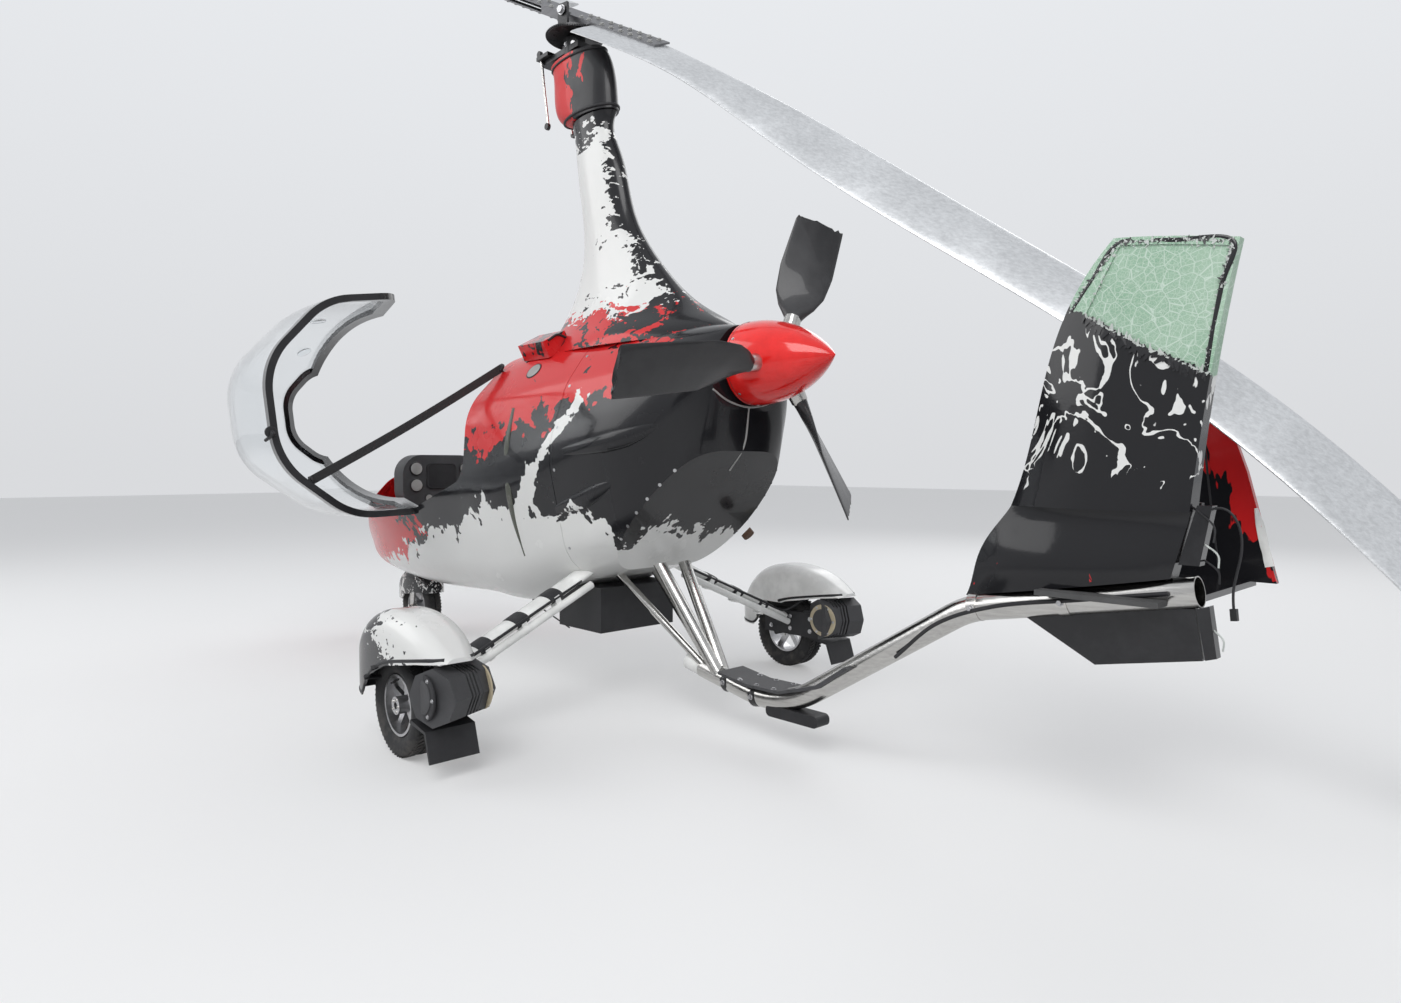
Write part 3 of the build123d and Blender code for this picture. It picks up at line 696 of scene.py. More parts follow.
def piece(name: str, points: Sequence[Vector], faces: Iterable[Sequence[int]], material: bpy.types.Material,
          body: str, slot: str, smooth: bool = True) -> bpy.types.Object:
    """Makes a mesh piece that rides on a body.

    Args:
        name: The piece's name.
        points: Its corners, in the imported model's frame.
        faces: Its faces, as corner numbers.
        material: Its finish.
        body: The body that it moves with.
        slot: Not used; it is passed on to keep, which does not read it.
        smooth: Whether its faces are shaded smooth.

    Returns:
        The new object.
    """
    mesh = bpy.data.meshes.new(name)
    mesh.from_pydata([tuple(p) for p in points], [], [tuple(f) for f in faces])
    mesh.validate()
    shaped = bmesh.new()
    shaped.from_mesh(mesh)
    bmesh.ops.remove_doubles(shaped, verts=shaped.verts, dist=1e-6)
    bmesh.ops.recalc_face_normals(shaped, faces=shaped.faces)
    for face in shaped.faces:
        face.smooth = smooth
    shaped.to_mesh(mesh)
    shaped.free()
    return keep(name, mesh, material, body, slot)


def keep(name: str, mesh: bpy.types.Mesh, material: bpy.types.Material, body: str,
         slot: str) -> bpy.types.Object:
    """Puts a finished mesh into the scene on a body, and reports it."""
    made = linked(name, mesh)
    mesh.materials.clear()
    mesh.materials.append(material)
    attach(made, body)
    log.info("%s: %d faces on %s", name, len(mesh.polygons), body)
    return made


def linked(name: str, data: bpy.types.ID) -> bpy.types.Object:
    """Returns a new object with the given data, in the scene."""
    made = bpy.data.objects.new(name, data)
    bpy.context.scene.collection.objects.link(made)
    return made


def creased(made: bpy.types.Object, angle: float = 35.0) -> bpy.types.Object:
    """Shades a piece smooth except over edges sharper than angle degrees."""
    shaped = bmesh.new()
    shaped.from_mesh(made.data)
    for edge in shaped.edges:
        edge.smooth = len(edge.link_faces) == 2 and edge.calc_face_angle(0.0) < math.radians(angle)
    shaped.to_mesh(made.data)
    shaped.free()
    return made


def skinned(rings: Sequence[Sequence[Vector]], closed: bool = True,
            capped: bool = True) -> tuple[list[Vector], list[tuple[int, ...]]]:
    """Joins rings of points into a skin.

    Args:
        rings: Rings with as many points each.
        closed: Whether each ring closes on itself.
        capped: Whether the first and last ring are filled.

    Returns:
        The points and the faces.
    """
    points = [p for ring in rings for p in ring]
    size = len(rings[0])
    faces: list[tuple[int, ...]] = []
    for row in range(len(rings) - 1):
        for i in range(size if closed else size - 1):
            a, b = row * size + i, row * size + (i + 1) % size
            faces.append((a, b, b + size, a + size))
    if capped and closed:
        faces.append(tuple(range(size)))
        faces.append(tuple((len(rings) - 1) * size + i for i in range(size)))
    return points, faces


def smooth_path(points: Sequence[Vector], count: int) -> list[Vector]:
    """Returns count points along a smooth line through the given points."""
    ends = [points[0] * 2 - points[1], *points, points[-1] * 2 - points[-2]]
    result = []
    for i in range(count):
        along = i / (count - 1) * (len(points) - 1)
        k = min(int(along), len(points) - 2)
        t = along - k
        a, b, c, d = ends[k:k + 4]
        cubic = 2 * b + (c - a) * t + (2 * a - 5 * b + 4 * c - d) * t * t + (3 * b - a - 3 * c + d) * t**3
        result.append(0.5 * cubic)
    return result


def smooth_pairs(line: Sequence[Pair], count: int) -> list[Pair]:
    """Returns count points along a smooth flat line."""
    return [(p.x, p.z) for p in smooth_path([Vector((x, 0, z)) for x, z in line], count)]


def headings(path: Sequence[Vector]) -> list[Vector]:
    """Returns the direction that a path runs in, at each of its points."""
    last = len(path) - 1
    return [(path[min(i + 1, last)] - path[max(i - 1, 0)]).normalized() for i in range(len(path))]


def spokes(centre: Vector, side: Vector, up: Vector, radius: float, count: int,
           shift: float = 0.0) -> list[Spot]:
    """Returns points round a centre, each with its way out.

    Args:
        centre: The middle.
        side: The direction of the first point.
        up: The direction that the points turn towards.
        radius: Their distance from the middle.
        count: How many points.
        shift: How far the first point is turned, in steps.
    """
    turns = [2 * math.pi * (k + shift) / count for k in range(count)]
    ways = [side * math.cos(t) + up * math.sin(t) for t in turns]
    return [(centre + way * radius, way) for way in ways]


def circle(centre: Vector, side: Vector, up: Vector, radius: float, count: int) -> list[Vector]:
    """Returns count points round a centre, from side towards up."""
    return [spot for spot, _ in spokes(centre, side, up, radius, count)]


def tube(name: str, points: Sequence[Vector], radius: float | Callable[[float], float],
         material: bpy.types.Material, body: str, slot: str, count: int = 32,
         sides: int = 12) -> bpy.types.Object:
    """Makes a round bar along a smooth line.

    Args:
        name: The piece's name.
        points: The points that the line passes.
        radius: The bar's radius, or a rule for it from 0 at the start to 1 at the end.
        material: Its finish.
        body: The body that it moves with.
        slot: Not used; it is passed on to piece, which does not use it.
        count: Rings along it.
        sides: Points round it.

    Returns:
        The new object.
    """
    if len(points) > 2:
        path = smooth_path(points, count)
    else:
        path = [points[0].lerp(points[1], i / (count - 1)) for i in range(count)]
    rings = []
    side = Vector((0.31, 0.55, 0.77))
    for i, (centre, way) in enumerate(zip(path, headings(path))):
        side = (side - way * side.dot(way)).normalized()
        size = radius(i / (count - 1)) if callable(radius) else radius
        rings.append(circle(centre, side, way.cross(side), size, sides))
    return creased(piece(name, *skinned(rings), material, body, slot), 50)


def ribbon(name: str, spots: Sequence[Spot], half: Callable[[float], float], rise: Callable[[float], float],
           material: bpy.types.Material, body: str, slot: str, count: int = 40,
           across: int = 8) -> bpy.types.Object:
    """Makes a strip that lies on a surface, crowned across its width.

    Args:
        name: The piece's name.
        spots: Points of the surface with its outward direction there.
        half: Half the strip's width, from 0 at its start to 1 at its end.
        rise: The height of its crown, likewise.
        material: Its finish.
        body: The body that it moves with.
        slot: Not used; it is passed on to piece, which does not use it.
        count: Rows along it.
        across: Steps across it.

    Returns:
        The new object.
    """
    path = smooth_path([p for p, _ in spots], count)
    outs = smooth_path([n for _, n in spots], count)
    rings = []
    for i, (centre, way) in enumerate(zip(path, headings(path))):
        t = i / (count - 1)
        out = (outs[i] - way * outs[i].dot(way)).normalized()
        side = way.cross(out)
        ring = []
        for k in range(across + 1):
            u = -1 + 2 * k / across
            lift = rise(t) * math.sqrt(max(0.0, 1 - u * u)) + 0.0004
            ring.append(centre + side * half(t) * u + out * lift)
        ring += [centre + side * half(t) * (0.96 - 1.92 * k / across) - out * 0.003
                 for k in range(across + 1)]
        rings.append(ring)
    return creased(piece(name, *skinned(rings), material, body, slot), 60)


def disc(name: str, centre: Vector, out: Vector, radius: float, height: float, material: bpy.types.Material,
         body: str, slot: str, sides: int = 40) -> bpy.types.Object:
    """Makes a round plate with a rolled edge, facing out."""
    side = out.orthogonal().normalized()
    up = out.cross(side)
    edge = ((0.995, -0.2), (1.0, 0.4), (0.985, 0.8), (0.93, 1.0), (0.5, 1.02))
    rings = [circle(centre + out * height * lift, side, up, radius * share, sides) for share, lift in edge]
    return creased(piece(name, *skinned(rings), material, body, slot), 40)


def rounded_square(steps: int) -> list[Pair]:
    """Returns the outline of a square from -1 to 1 with rounded corners."""
    outline = []
    for corner in range(4):
        for k in range(steps + 1):
            turn = math.pi / 2 * (corner + k / steps)
            cx, cy = (0.7 if corner in (0, 3) else -0.7), (0.7 if corner in (0, 1) else -0.7)
            outline.append((cx + 0.3 * math.cos(turn), cy + 0.3 * math.sin(turn)))
    return outline


def smoothstep(t: float) -> float:
    """Returns t eased from 0 to 1, and held outside."""
    t = min(1.0, max(0.0, t))
    return t * t * (3 - 2 * t)


class Repeats(Tree):
    """A Geometry Nodes tree that spreads one shape over points and gives it a finish."""

    KINDS = {float: "NodeSocketFloat", int: "NodeSocketInt", tuple: "NodeSocketVector"}

    def __init__(self, name: str, **inputs: object) -> None:
        """Starts the tree.

        Args:
            name: What the tree is called.
            inputs: Its inputs, with _ for a space, and their usual values.
        """
        super().__init__(bpy.data.node_groups.new(name, "GeometryNodeTree"))
        new_socket = self.tree.interface.new_socket
        new_socket("Geometry", in_out="INPUT", socket_type="NodeSocketGeometry")
        new_socket("Geometry", in_out="OUTPUT", socket_type="NodeSocketGeometry")
        new_socket("Finish", in_out="INPUT", socket_type="NodeSocketMaterial")
        for key, value in inputs.items():
            made = new_socket(key.replace("_", " "), in_out="INPUT", socket_type=self.KINDS[type(value)])
            made.default_value = value
        self.given = self.outlets(self.add("NodeGroupInput"))

    def shape(self, kind: str, **inputs: object) -> Value:
        """Adds a node and returns its first output."""
        return Value(self, self.feed(self.add(kind), **inputs).outputs[0])

    def close(self, points: Value, shape: Value, turn: Value, **stand: object) -> None:
        """Sets the shape on each point, makes the copies real and gives them their finish."""
        copies = self.shape("GeometryNodeInstanceOnPoints", Points=points, Instance=shape, Rotation=turn)
        real = self.shape("GeometryNodeRealizeInstances", Geometry=copies)
        placed = self.shape("GeometryNodeTransform", Geometry=real, **stand)
        painted = self.shape("GeometryNodeSetMaterial", Geometry=placed, Material=self.given["Finish"])
        self.feed(self.add("NodeGroupOutput"), Geometry=painted)

    def run(self, name: str, mesh: bpy.types.Mesh, body: str, slot: str,
            **values: object) -> bpy.types.Object:
        """Runs the tree on a mesh and keeps the result as a plain piece.

        Args:
            name: The piece's name.
            mesh: The points.
            body: The body that it moves with.
            slot: Not used; it is passed on to keep, which does not read it.
            values: The tree's inputs, Finish among them.

        Returns:
            The new object.
        """
        holder = linked(name + "_points", mesh)
        modifier = holder.modifiers.new("repeats", "NODES")
        modifier.node_group = self.tree
        for item in self.tree.interface.items_tree:
            key = item.name.replace(" ", "_")
            if item.in_out == "INPUT" and key in values:
                modifier[item.identifier] = values[key]
        bpy.context.view_layer.update()
        ready = holder.evaluated_get(bpy.context.evaluated_depsgraph_get())
        result = bpy.data.meshes.new_from_object(ready)
        result.name = name
        holder.modifiers.clear()
        bpy.data.objects.remove(holder)
        for face in result.polygons:
            face.use_smooth = False
        return keep(name, result, values["Finish"], body, slot)


class Fasteners(Repeats):
    """Screws and bolts, set on points that know their direction."""

    def __init__(self) -> None:
        """Builds the tree."""
        super().__init__("fasteners", Head_radius=0.006, Head_height=0.004, Washer_radius=0.008, Sides=6)
        height = self.given["Head height"]
        head = self.shape("GeometryNodeMeshCylinder", Vertices=self.given["Sides"],
                          Radius=self.given["Head radius"], Depth=height)
        rise = self.shape("ShaderNodeCombineXYZ", Z=height * 0.5)
        head = self.shape("GeometryNodeTransform", Geometry=head, Translation=rise)
        washer = self.shape("GeometryNodeMeshCylinder", Vertices=16, Radius=self.given["Washer radius"],
                            Depth=0.0012)
        both = self.add("GeometryNodeJoinGeometry")
        self.plug(both.inputs[0], head)
        self.plug(both.inputs[0], washer)
        facing = self.add("GeometryNodeInputNamedAttribute", data_type="FLOAT_VECTOR")
        self.feed(facing, Name="facing")
        turn = self.add("FunctionNodeAlignRotationToVector", axis="Z")
        self.feed(turn, Vector=facing.outputs["Attribute"])
        self.close(self.given["Geometry"], Value(self, both.outputs[0]), Value(self, turn.outputs[0]))

    def place(self, name: str, spots: Sequence[Spot], material: bpy.types.Material, body: str, slot: str,
              head: float = 0.006, height: float = 0.004, washer: float = 0.008,
              sides: int = 6) -> bpy.types.Object:
        """Sets one fastener on each spot.

        Args:
            name: The piece's name.
            spots: Points with the direction that each head faces.
            material: Its finish.
            body: The body that it moves with.
            slot: Not used; it is passed on to run, which does not use it.
            head: The head's radius.
            height: The head's height.
            washer: The washer's radius.
            sides: The head's number of sides.

        Returns:
            The new object.
        """
        mesh = bpy.data.meshes.new(name + "_points")
        mesh.from_pydata([tuple(p) for p, _ in spots], [], [])
        facing = mesh.attributes.new("facing", "FLOAT_VECTOR", "POINT")
        facing.data.foreach_set("vector", [c for _, n in spots for c in n])
        return self.run(name, mesh, body, slot, Head_radius=head, Head_height=height, Washer_radius=washer,
                        Sides=sides, Finish=material)


class Tread(Repeats):
    """Tyre lugs round a wheel."""

    LUG_LENGTH = 0.011
    LUG_COUNT = 60
    SLANT = math.radians(24)

    def __init__(self) -> None:
        """Builds the tree."""
        super().__init__("tread", Radius=0.175, Width=0.03, Offset=0.02, Depth=0.003, Centre=(0.0, 0.0, 0.0))
        given = self.given
        ring = self.shape("GeometryNodeCurvePrimitiveCircle", Radius=given["Radius"])
        spread = self.outlets(self.feed(self.add("GeometryNodeCurveToPoints"), Curve=ring,
                                        Count=self.LUG_COUNT))
        size = self.shape("ShaderNodeCombineXYZ", X=given["Depth"], Y=given["Width"], Z=self.LUG_LENGTH)
        lug = self.shape("GeometryNodeMeshCube", Size=size)
        aside = self.shape("ShaderNodeCombineXYZ", Y=given["Offset"])
        lug = self.shape("GeometryNodeTransform", Geometry=lug, Translation=aside,
                         Rotation=(self.SLANT, 0, 0))
        self.close(spread["Points"], lug, spread["Rotation"], Translation=given["Centre"],
                   Rotation=(math.pi / 2, 0, 0))

    def place(self, name: str, centre: Vector, radius: float, width: float, offset: float,
              material: bpy.types.Material, body: str) -> bpy.types.Object:
        """Sets one row of lugs round a tyre."""
        mesh = bpy.data.meshes.new(name + "_points")
        mesh.from_pydata([tuple(centre)], [], [])
        return self.run(name, mesh, body, "tyre", Radius=radius, Width=width, Offset=offset, Centre=centre,
                        Finish=material)


class Finishes:
    """Every material of the aircraft, made once."""

    def __init__(self) -> None:
        """Makes the materials."""
        self.white = Plastic("white_gloss", WHITE, 0.22, 0.3).make()
        self.black = Plastic("black_gloss", BLACK, 0.16, 0.25).make()
        self.satin = Plastic("black_satin", (0.022, 0.022, 0.024), 0.5, 0.0, 0.0003).make()
        self.dark = Plastic("dark_grey", (0.06, 0.06, 0.063), 0.55, 0.0, 0.0003).make()
        self.red = Plastic("spinner_red", (0.74, 0.010, 0.008), 0.14, 0.5).make()
        self.clear_grey = Plastic("pale_grey", (0.34, 0.34, 0.33), 0.45).make()
        self.olive = Plastic("sight_strip", (0.085, 0.088, 0.072), 0.25, 0.2).make()
        self.rust = Plastic("exhaust_rust", (0.10, 0.055, 0.035), 0.7, 0.0, 0.0004).make()
        self.beige = Plastic("beige", (0.50, 0.43, 0.30), 0.5).make()
        self.carbon = Plastic("carbon_blade", (0.028, 0.028, 0.030), 0.36, 0.25, 0.0002).make()
        self.fibre = Plastic("torn_fibre", (0.10, 0.10, 0.10), 0.9, 0.0, 0.002).make()
        self.pale_fibre = Plastic("pale_torn_fibre", (0.62, 0.65, 0.62), 0.85, 0.0, 0.002).make()
        self.steel = Metal("polished_stainless", (0.58, 0.57, 0.55), 0.16, (3.0, 60.0, 60.0)).make()
        self.blade = Metal("blade_alloy", (0.74, 0.75, 0.76), 0.34, (2.0, 46.0, 46.0), (0.0, 32.0, 10.0),
                           0.004).make()
        self.alloy = Metal("satin_alloy", (0.52, 0.52, 0.53), 0.32, (30.0, 30.0, 30.0)).make()
        self.grey_alloy = Metal("hub_alloy", (0.22, 0.22, 0.23), 0.42, (4.0, 60.0, 60.0)).make()
        self.gunmetal = Metal("dark_steel", (0.07, 0.07, 0.072), 0.38, (40.0, 40.0, 40.0)).make()
        self.rubber = Rubber("tyre_rubber").make()
        self.glass = Glazing("canopy_clear").make()
        self.cloth = Cloth("seat_cloth", (0.035, 0.035, 0.04)).make()
        self.web = Cloth("strap_web", (0.012, 0.012, 0.013)).make()
        self.laminate = TornLaminate("green_laminate").make()
        shoulder = ((RED, shoulder_red, 0.9), (BLACK, shoulder_black, 0.9), (WHITE, belly_white, 0.8))
        self.body = Splatter("body_paint", BLACK, shoulder, 6.0, (0.8, 1.0, 0.75), (0.0, 35.0, 0.0)).make()
        mast = ((WHITE, mast_white, 1.0), (RED, mast_red, 0.9), (BLACK, mast_black, 0.9))
        self.mast = Splatter("mast_paint", BLACK, mast, 9.0, (0.75, 1.0, 1.25), (0.0, 12.0, 0.0)).make()
        boot = ((RED, boot_red, 0.8),)
        self.boot = Splatter("boot_paint", BLACK, boot, 12.0, (1.0, 1.0, 0.5), roughness=0.4).make()
        # The fin's red coat is a painted reflection of the red side fin, not red paint on the fin.
        fin = ((WHITE, fin_white, 1.0), (RED, fin_red, 0.6))
        self.fin = Splatter("fin_paint", BLACK, fin, 6.5, (1.0, 1.0, 0.6), (0.0, 40.0, 0.0), 0.12,
                            strings=0.95, drops=1.0, bare=fin_torn).make()
        side = ((RED, side_red, 1.0), (BLACK, strokes, 0.9))
        self.side = Splatter("side_fin_paint", BLACK, side, 7.0, (1.0, 1.0, 0.35), (0.0, 20.0, 0.0)).make()
        pant = ((BLACK, pant_black, 0.9),)
        self.pant = Splatter("left_fairing_paint", WHITE, pant, 13.0, (0.7, 1.0, 1.0),
                             (0.0, -30.0, 0.0)).make()
        nose = ((BLACK, nose_black, 1.0),)
        self.nose = Splatter("nose_fairing_paint", WHITE, nose, 14.0, (1.0, 1.0, 0.8),
                             (0.0, 20.0, 0.0)).make()

    def dress(self, **nodes: bpy.types.Material) -> None:
        """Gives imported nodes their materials, by node name."""
        for name, material in nodes.items():
            mesh = frame["nodes"][name].data
            mesh.materials.clear()
            mesh.materials.append(material)


@dataclass
class Cabin:
    """Cabin shell, engine cowl, seats, instruments and what is fixed to them."""

    sight_strip: tuple[Pair, ...] = ((0.283, 1.208), (0.286, 1.051), (0.268, 0.883), (0.270, 0.753),
                                     (0.246, 0.612))
    flutes: tuple[tuple[Pair, ...], ...] = (
        ((-0.08, 1.030), (-0.287, 1.054), (-0.423, 1.079), (-0.520, 1.112)),
        ((0.012, 0.806), (-0.165, 0.854), (-0.310, 0.912)),
    )
    badge: Pair = (0.286, 1.364)
    badge_radius: float = 0.040
    cowl_lines: tuple[tuple[str, tuple[Point, ...]], ...] = (
        ("cowl_lip", ((-0.653, 0.177, 1.238), (-0.653, 0.100, 1.200), (-0.653, 0.0, 1.184),
                      (-0.653, -0.100, 1.200), (-0.653, -0.177, 1.238))),
        ("cowl_seam", ((-0.653, 0.0, 1.184), (-0.615, 0.0, 1.050), (-0.590, 0.0, 0.960))),
    )
    seam_screws: tuple[float, ...] = (0.66, 0.80, 0.96, 1.12, 1.28, 1.40)
    seat_names: tuple[str, ...] = ("seat_front", "seat_rear")
    cushion_depth: float = 0.055
    cushion_rows: int = 64
    cushion_steps: int = 32
    channels: int = 9
    bolster_start: float = 0.62
    dials: tuple[Point, ...] = (
        (-0.145, -0.075, 0.038), (-0.145, -0.165, 0.038), (0.145, -0.075, 0.038), (0.145, -0.165, 0.038),
        (-0.075, -0.235, 0.022), (0.0, -0.235, 0.022), (0.075, -0.235, 0.022),
    )
    screen_drop: float = -0.115
    screen_half: Pair = (0.088, 0.070)

    def build(self) -> None:
        """Dresses the shells and adds the fittings."""
        paint.dress(
            fuselage_shell=paint.body, engine_cowl=paint.body, firewall=paint.dark, shoulder_scoop=paint.body,
            instrument_pod=paint.dark, control_sticks=paint.satin, hinge_brackets=paint.gunmetal,
            radiator_box=paint.satin, belly_antenna=paint.satin, exhaust_stub=paint.rust,
            engine_block=paint.grey_alloy, propeller_housing=paint.gunmetal,
        )
        self.flank = Skin("fuselage_shell", "engine_cowl")
        self._strip()
        self._flutes()
        self._badge()
        self._screws()
        self._vents()
        for name, line in self.cowl_lines:
            spots = [self.flank.hit(place.at(x - 0.3, y, z), AHEAD, 0.001)[0] for x, y, z in line]
            tube(name, spots, 0.0035, paint.clear_grey, "airframe", "cowl_paint", 40, 8)
        for name in self.seat_names:
            self._seat(name)
        self._dials()

    def _strip(self) -> None:
        """Adds the dark sight strip down each flank."""
        def half(t: float) -> float:
            """Returns half the strip's width along it."""
            return 0.003 + 0.014 * math.sin(math.pi * min(1.0, 0.08 + t)) ** 0.7

        for side in Side:
            spots = [self.flank.beside(x, z, side) for x, z in self.sight_strip]
            name = f"sight_strip_{side.word}"
            ribbon(name, spots, half, lambda t: 0.003, paint.olive, "airframe", "black_plastic", 48)

    def _flutes(self) -> None:
        """Adds the raised flutes on each side of the cowl."""
        def half(t: float) -> float:
            """Returns half a flute's width along it."""
            return 0.005 + 0.030 * math.sin(math.pi * (0.12 + 0.8 * t))

        def rise(t: float) -> float:
            """Returns a flute's height along it."""
            return 0.001 + 0.014 * math.sin(math.pi * (0.06 + 0.9 * t))

        for side in Side:
            for number, line in enumerate(self.flutes):
                spots = [self.flank.beside(x, z, side, -0.003) for x, z in smooth_pairs(line, 9)]
                name = f"cowl_flute_{side.word}_{number}"
                ribbon(name, spots, half, rise, paint.body, "airframe", "cowl_paint", 40, 12)

    def _badge(self) -> None:
        """Adds the bare round badge behind the canopy on each side."""
        size = self.badge_radius
        for side in Side:
            centre, out = self.flank.beside(*self.badge, side, 0.0008)
            disc(f"badge_rim_{side.word}", centre, out, size, 0.0016, paint.satin, "airframe", "cowl_paint")
            centre += out * 0.0012
            disc(f"badge_face_{side.word}", centre, out, size * 0.86, 0.0014, paint.clear_grey, "airframe",
                 "cowl_paint")

    def _screws(self) -> None:
        """Adds the screws along the cowl's front seam and its lower panel."""
        for side in Side:
            spots = [self.flank.beside(-0.022, z, side) for z in self.seam_screws]
            spots += [self.flank.beside(-0.60 + 0.05 * k, 1.01 - 0.05 * k, side) for k in range(1, 7)]
            name = f"cowl_screws_{side.word}"
            fasteners.place(name, spots, paint.alloy, "airframe", "cowl_paint", 0.0042, 0.0016, 0.0062, 12)

    def _vents(self) -> None:
        """Adds the shoulder scoop's lip."""
        low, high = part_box("shoulder_scoop")
        y = (low.y + high.y) / 2
        lip = ((-0.045, -0.030), (0.0, -0.022), (0.045, -0.050))
        front = [Vector((low.x - 0.002, y + dy, high.z + dz)) for dy, dz in lip]
        tube("scoop_lip", front, 0.005, paint.satin, "airframe", "cowl_paint", 16, 8)

    def _seat(self, node: str) -> None:
        """Adds a padded seat with sewn channels in place of the plain one.

        Args:
            node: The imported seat's name.
        """
        low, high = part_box(node)
        outline = [
            Vector((high.x - 0.01, 0, low.z + 0.032)), Vector((high.x - 0.20, 0, low.z + 0.018)),
            Vector((low.x + 0.235, 0, low.z + 0.022)), Vector((low.x + 0.172, 0, low.z + 0.075)),
            Vector((low.x + 0.110, 0, low.z + 0.26)), Vector((low.x + 0.045, 0, high.z - 0.012)),
        ]
        path = smooth_path(outline, self.cushion_rows)
        middle, half = (low.y + high.y) / 2, (high.y - low.y) / 2 - 0.006
        steps = [2 * k / self.cushion_steps for k in range(self.cushion_steps + 1)]
        rings = []
        for i, (spot, way) in enumerate(zip(path, headings(path))):
            t = i / (len(path) - 1)
            up = Vector((-way.z, 0, way.x))
            up = up if (up.z > 0 or up.x > 0) else -up
            edge = min(1.0, min(t, 1 - t) * 14) ** 0.5
            channel = 0.86 + 0.14 * abs(math.sin(self.channels * math.pi * t)) ** 0.4
            ring = []
            for u in (step - 1 for step in steps):
                seam = 1 - 0.30 * math.exp(-((abs(u) - self.bolster_start) / 0.035) ** 2)
                bolster = 1.0 + 0.35 * max(0.0, abs(u) - self.bolster_start)
                crown = (1 - abs(u) ** 5) ** 0.5 * edge * channel * seam * bolster
                height = 0.006 + self.cushion_depth * 0.62 * crown
                ring.append(Vector((spot.x, middle + u * half, spot.z)) + up * height)
            ring += [Vector((spot.x, middle + (1 - step) * half, spot.z)) - up * 0.004 for step in steps]
            rings.append(ring)
        cushion = creased(piece(node + "_cushion", *skinned(rings), paint.cloth, "airframe", "seat_cloth"),
                          70)
        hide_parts(node)
        belt = ((low.x + 0.10, -0.09, high.z - 0.05), (low.x + 0.20, -0.07, low.z + 0.34),
                (low.x + 0.27, -0.03, low.z + 0.10))
        for number, sign in enumerate((1, -1)):
            spots = [(Vector((x + 0.012, middle + y * sign, z)), Vector((0.94, 0, 0.34))) for x, y, z in belt]
            ribbon(f"{node}_harness_{number}", spots, lambda t: 0.022, lambda t: 0.002, paint.web,
                   "airframe", "seat_cloth", 24, 4)

    def _dials(self) -> None:
        """Adds bare round dials, their rims and a bare screen on the face of the instrument pod."""
        low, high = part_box("instrument_pod")
        middle = (low.y + high.y) / 2
        for number, (dy, dz, size) in enumerate(self.dials):
            centre = Vector((low.x - 0.0005, middle + dy, high.z + dz))
            disc(f"dial_rim_{number}", centre, -AHEAD, size, 0.006, paint.gunmetal, "airframe", "interior")
            centre -= AHEAD * 0.004
            disc(f"dial_face_{number}", centre, -AHEAD, size * 0.84, 0.003, paint.clear_grey, "airframe",
                 "interior")
        rings = []
        for share, lift in ((1.0, 0.0005), (1.0, 0.007), (0.97, 0.009), (0.93, 0.009), (0.90, 0.006)):
            wide, high_half = (size * share for size in self.screen_half)
            face = Vector((low.x - lift, middle, high.z + self.screen_drop))
            rings.append([face + Vector((0, u * wide, v * high_half)) for u, v in rounded_square(6)])
        creased(piece("panel_screen", *skinned(rings), paint.satin, "airframe", "interior"), 40)


@dataclass
class Canopy:
    """The open canopy's frame, bubble, latch and the strap that holds it."""

    strap_root: Point = (0.560, 0.281, 1.400)
    strap_end: Point = (0.640, 1.062, 0.9185)
    strap_facing: Point = (0.0, 0.50, 0.86)
    strap_width: float = 0.034
    strap_thickness: float = 0.003
    strap_sag: float = 0.010
    strap_rows: int = 61
    latch_pixel: Pair = (352, 340)
    scoop_pixels: tuple[Pair, ...] = ((318, 321), (304, 352))

    def build(self) -> None:
        """Dresses the canopy and adds its fittings."""
        paint.dress(canopy_frame=paint.black, canopy_glass=paint.glass)
        self._strap()
        bubble = Skin("canopy_glass")
        for number, pixel in enumerate(self.scoop_pixels):
            spot, out = bubble.hit(camera.centre, camera.ray(*pixel), 0.001)
            disc(f"canopy_vent_{number}", spot, out, 0.036, 0.004, paint.glass, "canopy", "canopy_glass")
        spot, out = Skin("canopy_frame").hit(camera.centre, camera.ray(*self.latch_pixel), 0.0)
        disc("latch_plate", spot, out, 0.022, 0.008, paint.satin, "canopy", "canopy_frame", 24)
        lever = [spot + out * 0.008, spot + out * 0.028 + Vector((0.01, 0.0, -0.01)),
                 spot + out * 0.03 + Vector((0.06, 0.01, -0.03))]
        tube("latch_lever", lever, lambda t: 0.009 - 0.003 * t, paint.satin, "canopy", "canopy_frame", 16, 10)

    def _strap(self) -> None:
        """Adds the flat webbing strap in place of the plain one."""
        start, end = place.at(*self.strap_root), place.at(*self.strap_end)
        run = end - start
        way = run.normalized()
        side = Vector(self.strap_facing)
        side = (side - way * side.dot(way)).normalized() * self.strap_width / 2
        out = way.cross(side.normalized()) * self.strap_thickness / 2
        rings = []
        for i in range(self.strap_rows):
            t = i / (self.strap_rows - 1)
            centre = start + run * t - UPWARD * self.strap_sag * math.sin(math.pi * t)
            rings.append([centre + side * a + out * b for a, b in ((-1, -1), (1, -1), (1, 1), (-1, 1))])
        strap = creased(piece("strap_webbing", *skinned(rings), paint.web, "airframe", "webbing"), 30)
        strap.parent = None
        del strap["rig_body"]
        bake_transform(strap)
        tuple(start)
        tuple(end)
        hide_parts("canopy_strap")
        for number, (spot, body, lean) in enumerate(((start, "airframe", 1), (end, "canopy", -1))):
            out = Vector((0, lean, 0.4)).normalized()
            disc(f"strap_anchor_{number}", spot, out, 0.018, 0.008, paint.satin, body, "webbing", 24)


